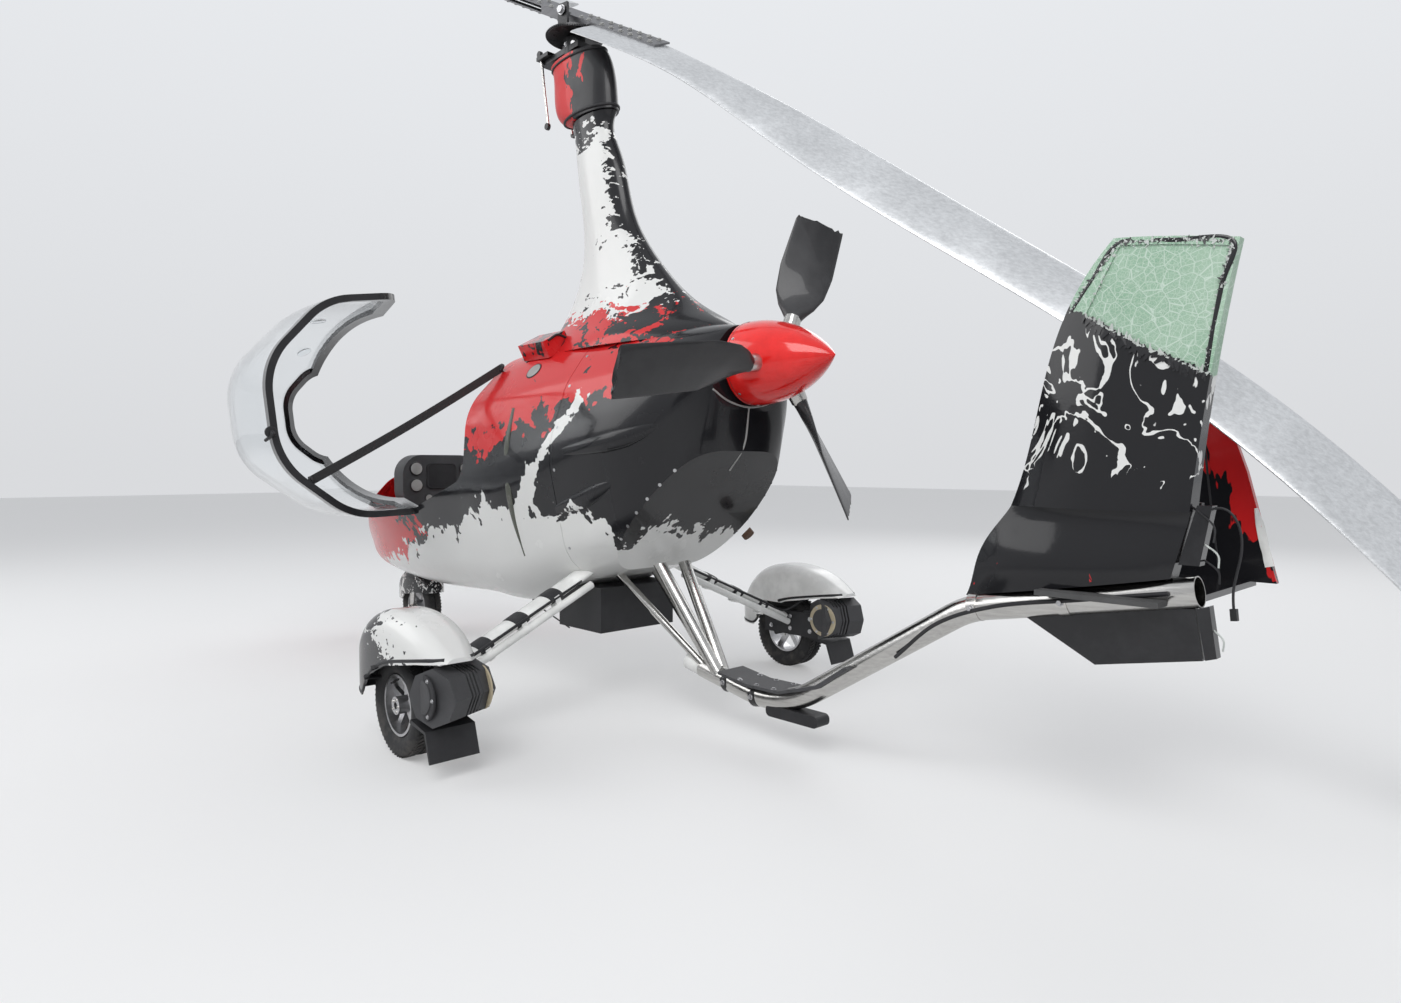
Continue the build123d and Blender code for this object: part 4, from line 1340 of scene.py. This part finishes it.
@dataclass
class Viewpoint:
    """The camera, at the photograph's viewing angle."""

    focal_pixels: float = 870.0
    yaw: float = 43.183
    pitch: float = 2.367
    spot: Point = (-2.795, 2.248, 0.977)
    image: tuple[int, int] = (IMAGE_WIDTH, 1003)

    def build(self) -> None:
        """Makes the camera."""
        yaw, pitch = math.radians(self.yaw), math.radians(self.pitch)
        level = math.cos(pitch)
        self.way = Vector((math.cos(yaw) * level, -math.sin(yaw) * level, -math.sin(pitch)))
        self.centre = place.at(*self.spot)
        data = bpy.data.cameras.new("camera")
        data.sensor_width = SENSOR
        data.lens = self.focal_pixels * SENSOR / IMAGE_WIDTH
        data.clip_start = 0.05
        made = linked("camera", data)
        made.location = self.centre
        made.rotation_euler = self.way.to_track_quat("-Z", "Y").to_euler()
        bpy.context.scene.camera = made

    def ray(self, px: float, py: float) -> Vector:
        """Returns the direction of the ray through a pixel of the photograph."""
        right = self.way.cross(UPWARD).normalized()
        up = right.cross(self.way)
        across, down = px - self.image[0] / 2, py - self.image[1] / 2
        return (self.way * self.focal_pixels + right * across - up * down).normalized()


@dataclass
class Studio:
    """Pale floor, soft lamps and a pale world."""

    floor_size: float = 60.0
    floor_colour: Colour = (0.60, 0.60, 0.60)
    floor_shown: float = 0.26
    sky_strength: float = 0.50
    sky_colour: Colour = (0.86, 0.89, 0.94)
    shown_low: Colour = (0.70, 0.71, 0.73)
    shown_high: Colour = (0.84, 0.86, 0.89)
    shown_top: float = 0.6
    lamp_size: float = 5.0
    lamp_aim: Point = (-0.3, 0.0, 1.0)
    lamps: tuple[tuple[str, Point, float], ...] = (
        ("key", (-4.5, 5.5, 6.5), 400.0), ("side", (5.0, 5.0, 5.0), 150.0), ("back", (1.0, -6.5, 5.5), 150.0),
    )

    def build(self) -> None:
        """Makes the floor, the lamps and the world."""
        bpy.context.scene.view_settings.view_transform = "Standard"
        half = self.floor_size / 2
        mesh = bpy.data.meshes.new("floor")
        mesh.from_pydata([(-half, -half, 0), (half, -half, 0), (half, half, 0), (-half, half, 0)], [],
                         [(0, 1, 2, 3)])
        floor = linked("floor", mesh)
        s = Sketch("floor_pale")
        shown = s.seen() * self.floor_shown
        mesh.materials.append(s.finish(Base_Color=self.floor_colour, Roughness=0.9,
                                       Emission_Color=(1.0, 1.0, 1.0),
                                       Emission_Strength=shown))
        self._world()
        for name, spot, power in self.lamps:
            self._lamp(name, spot, power)

    def _world(self) -> None:
        """Makes a plain sky for the light, and a pale one that the camera, gloss and glass see."""
        world = bpy.data.worlds.new("studio")
        bpy.context.scene.world = world
        world.use_nodes = True
        t = Tree(world.node_tree)
        height = t.add("ShaderNodeSeparateXYZ")
        t.plug(height.inputs[0], t.add("ShaderNodeTexCoord").outputs["Generated"])
        ramp = t.add("ShaderNodeValToRGB")
        t.plug(ramp.inputs[0], height.outputs["Z"])
        low, high = ramp.color_ramp.elements
        low.position, low.color = 0.0, (*self.shown_low, 1)
        high.position, high.color = self.shown_top, (*self.shown_high, 1)
        light = t.feed(world.node_tree.nodes["Background"], Color=self.sky_colour, Strength=self.sky_strength)
        shown = t.feed(t.add("ShaderNodeBackground"), Color=ramp.outputs[0])
        mix = t.add("ShaderNodeMixShader")
        for socket, value in zip(mix.inputs, (t.seen(), light.outputs[0], shown.outputs[0])):
            t.plug(socket, value)
        t.feed(world.node_tree.nodes["World Output"], Surface=mix.outputs[0])

    def _lamp(self, name: str, spot: Point, power: float) -> None:
        """Adds one soft square lamp that points at the cabin."""
        data = bpy.data.lights.new(name, "AREA")
        data.shape = "SQUARE"
        data.size = self.lamp_size
        data.energy = power
        lamp = linked(name, data)
        lamp.location = place.at(*spot)
        lamp.rotation_euler = (place.at(*self.lamp_aim) - lamp.location).to_track_quat("-Z", "Y").to_euler()


@dataclass
class Mast:
    """The mast's fairing, its boot and the rotor head's fixed parts."""

    hems: tuple[tuple[str, float, float], ...] = (("boot_hem", 2.468, 0.006), ("boot_collar", 2.723, 0.005))
    head_radius: float = 0.0465
    rod_ends: tuple[tuple[str, Point], ...] = (("top", (0.592, 0.050, 2.812)),
                                               ("foot", (0.512, 0.065, 2.470)))

    def build(self) -> None:
        """Dresses the mast and adds its trim."""
        paint.dress(mast_fairing=paint.mast, mast_boot=paint.boot, rotor_head_base=paint.gunmetal,
                    control_rods=paint.steel)
        skin = Skin("mast_boot")
        low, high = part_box("mast_boot")
        for name, height, size in self.hems:
            middle = Vector(((low.x + high.x) / 2, (low.y + high.y) / 2, height))
            ring = [skin.hit(spot, -way, 0.001)[0] for spot, way in spokes(middle, AHEAD, LEFTWARD, 0.5, 48)]
            tube(name, [*ring, ring[0]], size, paint.satin, "airframe", "boot", 97, 8)
        low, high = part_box("rotor_head_base")
        middle = Vector((place.x + 0.400, place.y, (low.z + high.z) / 2 + 0.012))
        bolts = spokes(middle, AHEAD, LEFTWARD, self.head_radius, 8)
        fasteners.place("head_bolts", bolts, paint.alloy, "airframe", "dark_steel", 0.007, 0.006, 0.010)
        for side in Side:
            for word, (x, y, z) in self.rod_ends:
                spot, name = place.at(x, y * side.value, z), f"rod_end_{word}_{side.word}"
                disc(name, spot, LEFTWARD * side.value, 0.015, 0.012, paint.gunmetal, "airframe",
                     "dark_steel", 24)


@dataclass
class Rotor:
    """The rotor: ring gear, teeter tower, hub bar and the straight and the bent blade."""

    hub: Point = (0.400, 0.0, 2.925)
    bearing: float = 10.0
    slope: float = 29.0
    roll: float = 27.0
    strap_lift: float = 0.0196
    bolt_reach: tuple[float, ...] = (0.08, 0.13, 0.215, 0.275, 0.335, 0.395, 0.455, 0.515)
    bolt_rows: Pair = (-0.026, 0.026)
    teeter_reach: float = 0.080
    gear_radius: float = 0.121
    gear_height: float = 2.838
    gear_teeth: int = 72
    hole_height: float = 2.832
    hole_radius: float = 0.092

    def build(self) -> None:
        """Dresses the rotor and adds its bolts, nuts, teeth and holes."""
        paint.dress(teeter_tower=paint.gunmetal, hub_bar=paint.grey_alloy, rotor_blade_straight=paint.blade,
                    rotor_blade_bent=paint.blade)
        turn, slope, roll = (math.radians(a) for a in (self.bearing, self.slope, self.roll))
        aft = Vector((-math.cos(turn), -math.sin(turn), 0))
        out = aft * math.cos(slope) - UPWARD * math.sin(slope)
        level = Vector((math.sin(turn), -math.cos(turn), 0))
        rise = aft * math.sin(slope) + UPWARD * math.cos(slope)
        chord = level * math.cos(roll) + rise * math.sin(roll)
        up = out.cross(chord)
        hub = place.at(*self.hub)
        for word, sign in (("upper", 1), ("lower", -1)):
            face = hub + up * self.strap_lift * sign
            spots = [(face + out * reach * end + chord * row, up * sign)
                     for reach in self.bolt_reach for end in (-1, 1) for row in self.bolt_rows]
            name = f"strap_bolts_{word}"
            fasteners.place(name, spots, paint.clear_grey, "rotor", "rotor_alloy", 0.008, 0.006, 0.0125, 16)
        nuts = [(hub + level * self.teeter_reach * sign, level * sign) for sign in (-1, 1)]
        fasteners.place("teeter_nuts", nuts, paint.alloy, "rotor", "dark_steel", 0.016, 0.012, 0.021)
        teeth = spokes(place.at(self.hub[0], 0, self.gear_height), AHEAD, LEFTWARD, self.gear_radius,
                       self.gear_teeth)
        fasteners.place("gear_teeth", teeth, paint.gunmetal, "rotor", "dark_steel", 0.0042, 0.005, 0.002, 4)
        middle = place.at(self.hub[0], 0, self.hole_height)
        holes = [(spot, -UPWARD) for spot in circle(middle, AHEAD, LEFTWARD, self.hole_radius, 12)]
        fasteners.place("gear_holes", holes, paint.satin, "rotor", "dark_steel", 0.010, 0.0012, 0.012, 20)


@dataclass
class Propeller:
    """The spinner and the three blades that are snapped off short."""

    axis_height: float = 1.335
    plane: float = -0.800
    blades: tuple[tuple[str, float, float], ...] = (("up", -22.7, 0.548), ("left", 97.3, 0.718),
                                                    ("low", 217.3, 0.648))
    root: float = 0.120
    stations: tuple[tuple[float, float, float, float], ...] = (
        (0.120, 0.028, 0.028, 58.0), (0.160, 0.030, 0.027, 58.0), (0.182, 0.046, 0.023, 57.0),
        (0.205, 0.064, 0.019, 55.0), (0.255, 0.086, 0.014, 49.0), (0.350, 0.096, 0.011, 39.0),
        (0.720, 0.084, 0.008, 25.0),
    )
    rows: int = 46
    around: int = 36
    ragged: float = 0.016
    spinner_radius: float = 0.146
    spinner_base: float = -0.672

    def build(self) -> None:
        """Dresses the spinner and makes the blades."""
        paint.dress(spinner=paint.red)
        for name, angle, reach in self.blades:
            self._blade(name, math.radians(angle), reach)
        seam = circle(self._axis(self.spinner_base - 0.012), UPWARD, LEFTWARD, self.spinner_radius - 0.0005,
                      48)
        tube("spinner_seam", [*seam, seam[0]], 0.0016, paint.satin, "propeller", "spinner_red", 97, 6)
        middle = self._axis(self.spinner_base - 0.024)
        spots = spokes(middle, UPWARD, LEFTWARD, self.spinner_radius + 0.0002, 9, 0.5)
        fasteners.place("spinner_screws", spots, paint.alloy, "propeller", "spinner_red", 0.0045, 0.002,
                        0.006, 12)

    def _axis(self, x: float) -> Vector:
        """Returns a point on the propeller's axis."""
        return place.at(x, 0, self.axis_height)

    def _blade(self, name: str, turn: float, reach: float) -> None:
        """Makes one blade with its round shank, twist and torn end.

        Args:
            name: Which blade.
            turn: Its direction, from up to the left, in radians.
            reach: Its length from the axis.
        """
        hub = self._axis(self.plane)
        outward = Vector((0, math.sin(turn), math.cos(turn)))
        rings = []
        for i in range(self.rows):
            r = self.root + (reach - self.root) * i / (self.rows - 1)
            root = smoothstep((r - 0.165) / 0.09)
            chord, thick, degrees = self._station(r)
            pitch = math.radians(degrees)
            along = Vector((math.sin(pitch), math.cos(pitch) * math.cos(turn),
                            -math.cos(pitch) * math.sin(turn)))
            lift = along.cross(outward)
            frayed = {self.rows - 1: 1.0, self.rows - 2: 0.5}.get(i, 0.0)
            ring = []
            for k in range(self.around):
                a = 2 * math.pi * k / self.around
                x, y = math.cos(a), math.sin(a)
                camber = 0.35 * root * (1 - x * x)
                droop = 1 - 0.45 * root * (x > 0) * x
                spot = along * x * chord + lift * (y * droop + camber) * thick
                ring.append(hub + outward * (r + frayed * self._torn(x, reach)) + spot)
            rings.append(ring)
        made = creased(piece(f"blade_{name}", *skinned(rings), paint.carbon, "propeller", "blade_black"), 45)
        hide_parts("propeller_blades")
        cuff = [hub + outward * r for r in (0.118, 0.140, 0.166)]
        tube(f"blade_cuff_{name}", cuff, lambda t: 0.0325 - 0.003 * t, paint.steel, "propeller",
             "blade_black", 12, 28)

    def _station(self, r: float) -> list[float]:
        """Returns a blade's half chord, half thickness and pitch in degrees at a reach."""
        radii, *rows = zip(*self.stations)
        return [float(np.interp(r, radii, row)) for row in rows]

    def _torn(self, share: float, seed: float) -> float:
        """Returns how far the torn end stops short of the blade's length."""
        wave = math.sin(share * 17 + seed * 40) + 0.6 * math.sin(share * 41 + seed * 90)
        wave += 0.4 * math.sin(share * 83)
        return -abs(self.ragged * wave * 0.6)


@dataclass
class Wheel:
    """One wheel's tyre, tread, bolts and valve."""

    name: str
    tyre: str
    rim: str
    body: str
    width: float
    radius: float = 0.175
    rim_radius: float = 0.104
    grooves: tuple[float, ...] = (-0.42, 0.0, 0.42)
    lug_offset: float = 0.25
    lug_width: float = 0.30
    rows: int = 112

    def build(self) -> None:
        """Makes the wheel's pieces."""
        low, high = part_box(self.tyre)
        self.centre = (low + high) / 2
        paint.dress(**{self.rim: paint.alloy})
        self._tyre()
        for number, sign in enumerate((-1, 1)):
            tread.place(f"{self.name}_tread_{number}", self.centre, self.radius - 0.0022,
                        self.width * self.lug_width,
                        sign * self.lug_offset * self.width, paint.rubber, self.body)
        for word, out in (("inner", -LEFTWARD), ("outer", LEFTWARD)):
            face = self.centre + out * (self.width * 0.36 + 0.0075)
            spots = [(spot, out) for spot, _ in spokes(face, AHEAD, UPWARD, 0.021, 5, 0.5)]
            fasteners.place(f"{self.name}_bolts_{word}", spots, paint.steel, self.body, "rim_alloy", 0.004,
                            0.004, 0.0055)
        valve = self.centre + Vector((0, self.width * 0.30, self.rim_radius - 0.016))
        stem = [valve, valve + Vector((0, 0.016, -0.006)), valve + Vector((0, 0.028, -0.010))]
        tube(f"{self.name}_valve", stem, 0.0036, paint.rubber, self.body, "tyre", 10, 8)

    def _tyre(self) -> None:
        """Makes the tyre with a bead, a bulged wall and three grooves, in place of the plain one."""
        half = self.width / 2
        inner, outer = self.rim_radius, self.radius
        wall = [(-0.30, inner - 0.004), (-0.64, inner + 0.002), (-0.86, inner + 0.014),
                (-0.985, inner + 0.034),
                (-0.965, outer - 0.026), (-0.84, outer - 0.010), (-0.66, outer - 0.0042)]
        crown = []
        for groove in self.grooves:
            for step, depth in ((-0.085, 0.0), (-0.060, 0.006), (0.060, 0.006), (0.085, 0.0)):
                sink = 0.0035 + 0.003 * abs(groove + step) ** 2
                crown.append((groove + step, outer - sink - depth))
        profile = [*wall, *crown, *((-x, r) for x, r in reversed(wall))]
        rings = [[self.centre + LEFTWARD * x * half + way * r for x, r in profile]
                 for _, way in spokes(self.centre, AHEAD, UPWARD, 1.0, self.rows)]
        points, faces = skinned([*rings, rings[0]], True, False)
        made = creased(piece(self.name + "_tyre", points, faces, paint.rubber, self.body, "tyre"), 40)
        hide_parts(self.tyre)


@dataclass
class MainGear:
    """One main wheel's leg, arm, fairing, finned pod and mudflap."""

    side: Side
    leg_root: Point = (0.015, 0.232, 0.560)
    leg_end: Point = (-0.030, 0.872, 0.262)
    pads: tuple[float, ...] = (0.28, 0.52, 0.76)
    pad_length: float = 0.060
    pad_half: Pair = (0.0505, 0.0225)
    lip: tuple[Pair, ...] = (
        (0.262, 0.196), (0.160, 0.194), (0.112, 0.240), (0.055, 0.286), (-0.060, 0.333), (-0.250, 0.366),
        (-0.352, 0.378),
    )
    pod: Point = (-0.292, 0.964, 0.268)
    pod_radius: float = 0.085
    pod_length: float = 0.190
    hose: tuple[Point, ...] = (
        (-0.16, 0.905, 0.350), (-0.075, 0.845, 0.292), (-0.068, 0.70, 0.352), (-0.050, 0.48, 0.448),
        (-0.035, 0.29, 0.530),
    )
    caliper: Point = (-0.055, 0.916, 0.215)
    arm_face: float = 0.8748
    arm_bolts: tuple[Pair, ...] = (
        (0.03, 0.262), (0.03, 0.205), (-0.09, 0.262), (-0.09, 0.205), (-0.21, 0.262), (-0.21, 0.205),
    )

    def at(self, x: float, y: float, z: float) -> Vector:
        """Returns a point on this gear's side, given as on the left."""
        return place.at(x, y * self.side.value, z)

    def build(self) -> None:
        """Dresses the gear and adds its fittings."""
        word = self.side.word
        self.out = LEFTWARD * self.side.value
        painted = paint.pant if self.side is Side.LEFT else paint.white
        paint.dress(**{
            f"gear_leg_{word}": paint.white, f"wheel_arm_{word}": paint.satin, f"wheel_pant_{word}": painted,
            f"finned_pod_{word}": paint.dark, f"mudflap_{word}": paint.satin,
        })
        Wheel(f"wheel_{word}", f"main_tyre_{word}", f"main_rim_{word}", f"wheel_{word}", 0.104).build()
        self._pads()
        self._trim()
        self._pod_fittings()
        self._lines()

    def _pads(self) -> None:
        """Adds the black grip pads round the leg."""
        root, end = self.at(*self.leg_root), self.at(*self.leg_end)
        way = (end - root).normalized()
        ahead = (AHEAD - way * way.x).normalized()
        up = ahead.cross(way) * self.side.value
        wide, thick = self.pad_half
        for number, share in enumerate(self.pads):
            rings = []
            for i in range(7):
                swell = 1.0 if 0 < i < 6 else 0.96
                centre = root + way * (share * (end - root).length + self.pad_length * (i / 6 - 0.5))
                rings.append(circle(centre, ahead * wide, up * thick, swell, 40))
            name = f"leg_pad_{self.side.word}_{number}"
            creased(piece(name, *skinned(rings), paint.satin, "airframe", "black_plastic"), 50)

    def _trim(self) -> None:
        """Adds the dark lip along the fairing's lower edge, outside and inside."""
        skin = Skin(f"wheel_pant_{self.side.word}")
        for word, sign in (("outer", 1), ("inner", -1)):
            starts = [self.at(x, place.track + sign * 0.5, z + 0.008) for x, z in smooth_pairs(self.lip, 22)]
            spots = [skin.hit(start, self.out * -sign, -0.001) for start in starts]
            spots = [s for s in spots if abs(s[0].y - place.y) > 0.5]
            ribbon(f"pant_lip_{word}_{self.side.word}", spots, lambda t: 0.006, lambda t: 0.003, paint.satin,
                   "airframe", "black_plastic", 60, 6)

    def _pod_fittings(self) -> None:
        """Adds the pod's end covers, their bolts and its connector."""
        word, size = self.side.word, self.pod_radius
        centre = self.at(*self.pod)
        for end, sign, cover in (("outer", 1, paint.satin), ("inner", -1, paint.beige)):
            out = self.out * sign
            face = centre + out * self.pod_length / 2
            disc(f"pod_cover_{end}_{word}", face, out, size * 0.86, 0.006, cover, "airframe", "pod_metal", 48)
            disc(f"pod_cap_{end}_{word}", face + out * 0.005, out, size * 0.62, 0.005, paint.dark,
                 "airframe", "pod_metal")
            spots = [(s, out) for s in circle(face + out * 0.0055, AHEAD, UPWARD, size * 0.74, 6)]
            name = f"pod_bolts_{end}_{word}"
            fasteners.place(name, spots, paint.alloy, "airframe", "pod_metal", 0.0045, 0.004, 0.0065)
        top = centre + Vector((0.02, -0.03 * self.side.value, size * 0.9))
        rings = [[top + Vector((a * 0.026 * s, b * 0.034 * s, h)) for a, b in rounded_square(6)]
                 for s, h in ((1, -0.01), (1, 0.016), (0.9, 0.024), (0.6, 0.027))]
        creased(piece(f"pod_connector_{word}", *skinned(rings), paint.satin, "airframe", "black_plastic"), 35)

    def _lines(self) -> None:
        """Adds the brake hose, the caliper and the arm's bolts."""
        word = self.side.word
        x, y, z = self.pod
        start = self.at(x + 0.02, y - 0.03, z + self.pod_radius + 0.012)
        bend = start + Vector((0.02, -0.02 * self.side.value, 0.022))
        hose = [start, bend, *(self.at(*spot) for spot in self.hose)]
        tube(f"leg_hose_{word}", hose, 0.0055, paint.satin, "airframe", "black_plastic", 80, 8)
        caliper = self.at(*self.caliper)
        outline = rounded_square(6)
        rings = [[caliper + self.out * (h - 0.012) + Vector((a * 0.034, 0, b * 0.026)) for a, b in outline]
                 for h in (0.0, 0.004, 0.026, 0.030)]
        creased(piece(f"brake_caliper_{word}", *skinned(rings), paint.grey_alloy, "airframe",
                      "black_plastic"), 35)
        spots = [(self.at(x, self.arm_face, z), -self.out) for x, z in self.arm_bolts]
        fasteners.place(f"arm_bolts_{word}", spots, paint.alloy, "airframe", "black_plastic", 0.007, 0.006,
                        0.0105)


@dataclass
class NoseGear:
    """The steered nose wheel and its fairing."""

    def build(self) -> None:
        """Dresses the nose gear and its wheel."""
        paint.dress(nose_fork=paint.steel, nose_pant=paint.nose)
        Wheel("nose", "nose_tyre", "nose_rim", "nose_wheel", 0.090, grooves=(-0.36, 0.0, 0.36)).build()


@dataclass
class Keel:
    """The bent keel tube, its struts, leaf and skid."""

    clamps: tuple[tuple[Pair, Pair], ...] = (
        ((-0.56, 0.1873), (0.982, -0.187)), ((-0.70, 0.1608), (0.982, -0.187)),
        ((-1.545, 0.577), (0.984, -0.178)), ((-1.80, 0.6225), (0.984, -0.178)),
    )
    tube_radius: float = 0.038
    leaf_bolts: tuple[float, ...] = (-0.66, -0.74, -0.82, -0.93)
    conduit: tuple[Point, ...] = (
        (-1.30, 0.040, 0.400), (-1.44, 0.041, 0.520), (-1.62, 0.041, 0.592), (-1.85, 0.041, 0.636),
        (-2.06, 0.041, 0.674),
    )

    def build(self) -> None:
        """Dresses the keel and adds clamps, bolts and the conduit."""
        paint.dress(keel_tube=paint.steel, keel_plug=paint.white, keel_struts=paint.steel,
                    keel_leaf=paint.dark,
                    keel_skid=paint.satin)
        radius = self.tube_radius + 0.002
        for number, ((x, z), (ahead, rise)) in enumerate(self.clamps):
            spot, reach = place.at(x, 0, z), Vector((ahead, 0, rise)) * 0.014
            finish = paint.gunmetal if number < 2 else paint.steel
            name = f"keel_clamp_{number}"
            tube(name, [spot - reach, spot + reach], radius + 0.0002, finish, "airframe", "stainless", 6, 40)
            spots = [(spot + LEFTWARD * sign * radius, LEFTWARD * sign) for sign in (-1, 1)]
            name = f"keel_clamp_bolts_{number}"
            fasteners.place(name, spots, paint.alloy, "airframe", "stainless", 0.007, 0.009, 0.010)
        leaf = Skin("keel_leaf")
        spots = [leaf.above(x, y) for x in self.leaf_bolts for y in (-0.052, 0.052)]
        fasteners.place("leaf_bolts", spots, paint.alloy, "airframe", "stainless", 0.0065, 0.005, 0.010)
        conduit = [place.at(*spot) for spot in self.conduit]
        tube("keel_conduit", conduit, 0.006, paint.satin, "airframe", "black_plastic", 60, 8)


@dataclass
class Tail:
    """The fin with its torn skin, the side fin, and what is left of the tailplane, rudder and cable."""

    torn: tuple[Pair, ...] = ((-1.842, 1.355), (-1.900, 1.318), (-1.985, 1.262), (-2.050, 1.230),
                              (-2.128, 1.186))
    rim: tuple[Pair, ...] = ((-2.128, 1.186), (-2.152, 1.400), (-2.166, 1.474), (-1.922, 1.519),
                             (-1.842, 1.355))
    edge: tuple[Pair, ...] = (
        (-2.122, 1.190), (-2.150, 1.380), (-2.170, 1.484), (-2.050, 1.505), (-1.918, 1.526), (-1.850, 1.440),
        (-1.800, 1.372),
    )
    seam: tuple[Pair, ...] = ((-1.958, 1.085), (-1.985, 0.86), (-2.010, 0.668))
    tab: tuple[Pair, ...] = ((-2.098, 0.86), (-2.118, 0.76), (-2.132, 0.70))
    wires: tuple[tuple[Point, Point], ...] = (
        ((-2.112, 0.018, 0.872), (-2.150, 0.030, 0.800)), ((-2.114, 0.006, 0.80), (-2.160, 0.024, 0.742)),
        ((-2.112, -0.010, 0.76), (-2.150, -0.02, 0.700)), ((-2.138, 0.0, 0.60), (-2.168, 0.006, 0.548)),
    )
    cable: tuple[Point, ...] = (
        (-2.104, -0.048, 0.867), (-2.132, -0.052, 0.880), (-2.162, -0.055, 0.868), (-2.182, -0.056, 0.828),
        (-2.186, -0.054, 0.775), (-2.176, -0.050, 0.720), (-2.170, -0.046, 0.676), (-2.174, -0.044, 0.642),
    )
    cable_diameter: float = 0.006
    cable_length: float = 0.285
    shard_seed: int = 11

    def build(self) -> None:
        """Dresses the tail, makes its torn edges and lays its cable."""
        paint.dress(
            tail_fin=paint.fin, fin_laminate=paint.laminate, ventral_fin=paint.black,
            tailplane_right=paint.black,
            tailplane_stub_left=paint.fibre, side_fin_right=paint.side, rudder_stubs=paint.black,
            tail_bracket=paint.gunmetal, cable_plug=paint.satin,
        )
        self.random = np.random.default_rng(self.shard_seed)
        self.skin = Skin("tail_fin", "fin_laminate")
        self._shards("torn_skin", self.torn, 64, 0.020, paint.black, (0.2, -1.0))
        self._shards("torn_gelcoat", self.torn, 48, 0.012, paint.pale_fibre, (0.2, 0.8))
        self._strip("fin_rim", self.skin, self.edge, 0.005, paint.black, 90)
        self._shards("torn_rim_pale", self.rim, 70, 0.006, paint.pale_fibre)
        self._shards("torn_edge_dark", self.edge, 90, 0.009, paint.fibre)
        self._shards("torn_edge_pale", self.edge, 110, 0.009, paint.pale_fibre)
        side_fin = Skin("side_fin_right")
        self._strip("side_fin_seam", side_fin, self.seam, 0.003, paint.satin, 24)
        self._strip("side_fin_tab", side_fin, self.tab, 0.011, paint.white, 16)
        self._wires()
        self._cable()

    def _strip(self, name: str, skin: Skin, line: Sequence[Pair], half: float, material: bpy.types.Material,
               count: int) -> None:
        """Adds a thin strip along a line of a fin's left side."""
        spots = [skin.beside(x, z, Side.LEFT) for x, z in line]
        ribbon(name, spots, lambda t: half, lambda t: 0.0015, material, "airframe", "fin_paint", count, 4)

    def _shards(self, name: str, edge: Sequence[Pair], count: int, size: float, material: bpy.types.Material,
                lean: Pair = (0.0, 0.0)) -> None:
        """Adds ragged flakes of skin along an edge of the fin's left side.

        Args:
            name: The piece's name.
            edge: The edge, as x and z.
            count: How many flakes.
            size: Their usual length.
            material: Their finish.
            lean: The direction that they point in, as x and z.
        """
        runs = [math.dist(a, b) for a, b in zip(edge, edge[1:])]
        points: list[Vector] = []
        faces: list[tuple[int, ...]] = []
        for k in range(count):
            along = (k + self.random.uniform(0, 0.9)) / count * sum(runs)
            i = 0
            while i < len(runs) - 1 and along > runs[i]:
                along -= runs[i]
                i += 1
            (ax, az), (bx, bz) = edge[i], edge[i + 1]
            t = min(1.0, along / runs[i])
            spot, out = self.skin.beside(ax + (bx - ax) * t, az + (bz - az) * t, Side.LEFT, 0.0008)
            length = size * self.random.uniform(0.4, 1.5)
            way = Vector((lean[0] + self.random.uniform(-1, 1), 0, lean[1] + self.random.uniform(-1, 1)))
            way = (way - out * way.dot(out)).normalized()
            side = out.cross(way) * length * self.random.uniform(0.2, 0.45)
            tip = spot + way * length + out * self.random.uniform(0.0, 0.004)
            back = spot - way * 0.2 * length
            first = len(points)
            points += [back - side, back + side, tip + side * 0.2, tip - side * 0.35]
            points += [p - out * 0.0012 for p in points[first:]]
            quads = ((0, 1, 2, 3), (7, 6, 5, 4), (0, 4, 5, 1), (1, 5, 6, 2), (2, 6, 7, 3), (3, 7, 4, 0))
            faces += [tuple(first + j for j in quad) for quad in quads]
        made = piece(name, points, faces, material, "airframe", "fin_paint", False)
        log.info("%s: %d flakes", made.name, count)

    def _wires(self) -> None:
        """Adds the torn wires and the push rod's end at the rudder stubs."""
        for number, (root, end) in enumerate(self.wires):
            start, stop = place.at(*root), place.at(*end)
            middle = start.lerp(stop, 0.6) + Vector((-0.014, 0.004 * number, 0.008))
            finish = paint.pale_fibre if number % 2 else paint.satin
            tube(f"torn_wire_{number}", [start, middle, stop], 0.0022, finish, "airframe", "fin_paint", 20, 6)

    def _cable(self) -> None:
        """Lays the loose cable on its smooth route."""
        curve = bpy.data.curves.new("loose_cable", "CURVE")
        curve.dimensions = "3D"
        curve.bevel_depth = self.cable_diameter / 2
        curve.bevel_resolution = 4
        curve.resolution_u = 8
        spline = curve.splines.new("NURBS")
        spline.points.add(len(self.cable) - 1)
        for point, spot in zip(spline.points, self.cable):
            point.co = (*place.at(*spot), 1.0)
        spline.order_u = 3
        spline.use_endpoint_u = True
        curve.materials.append(paint.satin)
        cable = linked("loose_cable", curve)
        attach(cable, "airframe")
        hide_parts("tail_cable")
        tuple(place.at(*self.cable[0]))


def main() -> None:
    """Builds the aircraft's sub-assemblies and the studio."""
    gears = (MainGear(Side.LEFT), MainGear(Side.RIGHT), NoseGear())
    for assembly in (Tail(), Cabin(), Canopy(), Mast(), Rotor(), Propeller(), *gears, Keel(), Studio()):
        assembly.build()
        log.info("%s built", type(assembly).__name__)


logging.basicConfig(level=logging.INFO, format="%(message)s")
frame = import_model()
place = Place()
patterns = Patterns()
paint = Finishes()
fasteners = Fasteners()
tread = Tread()
camera = Viewpoint()
camera.build()

if __name__ == "__main__":
    main()
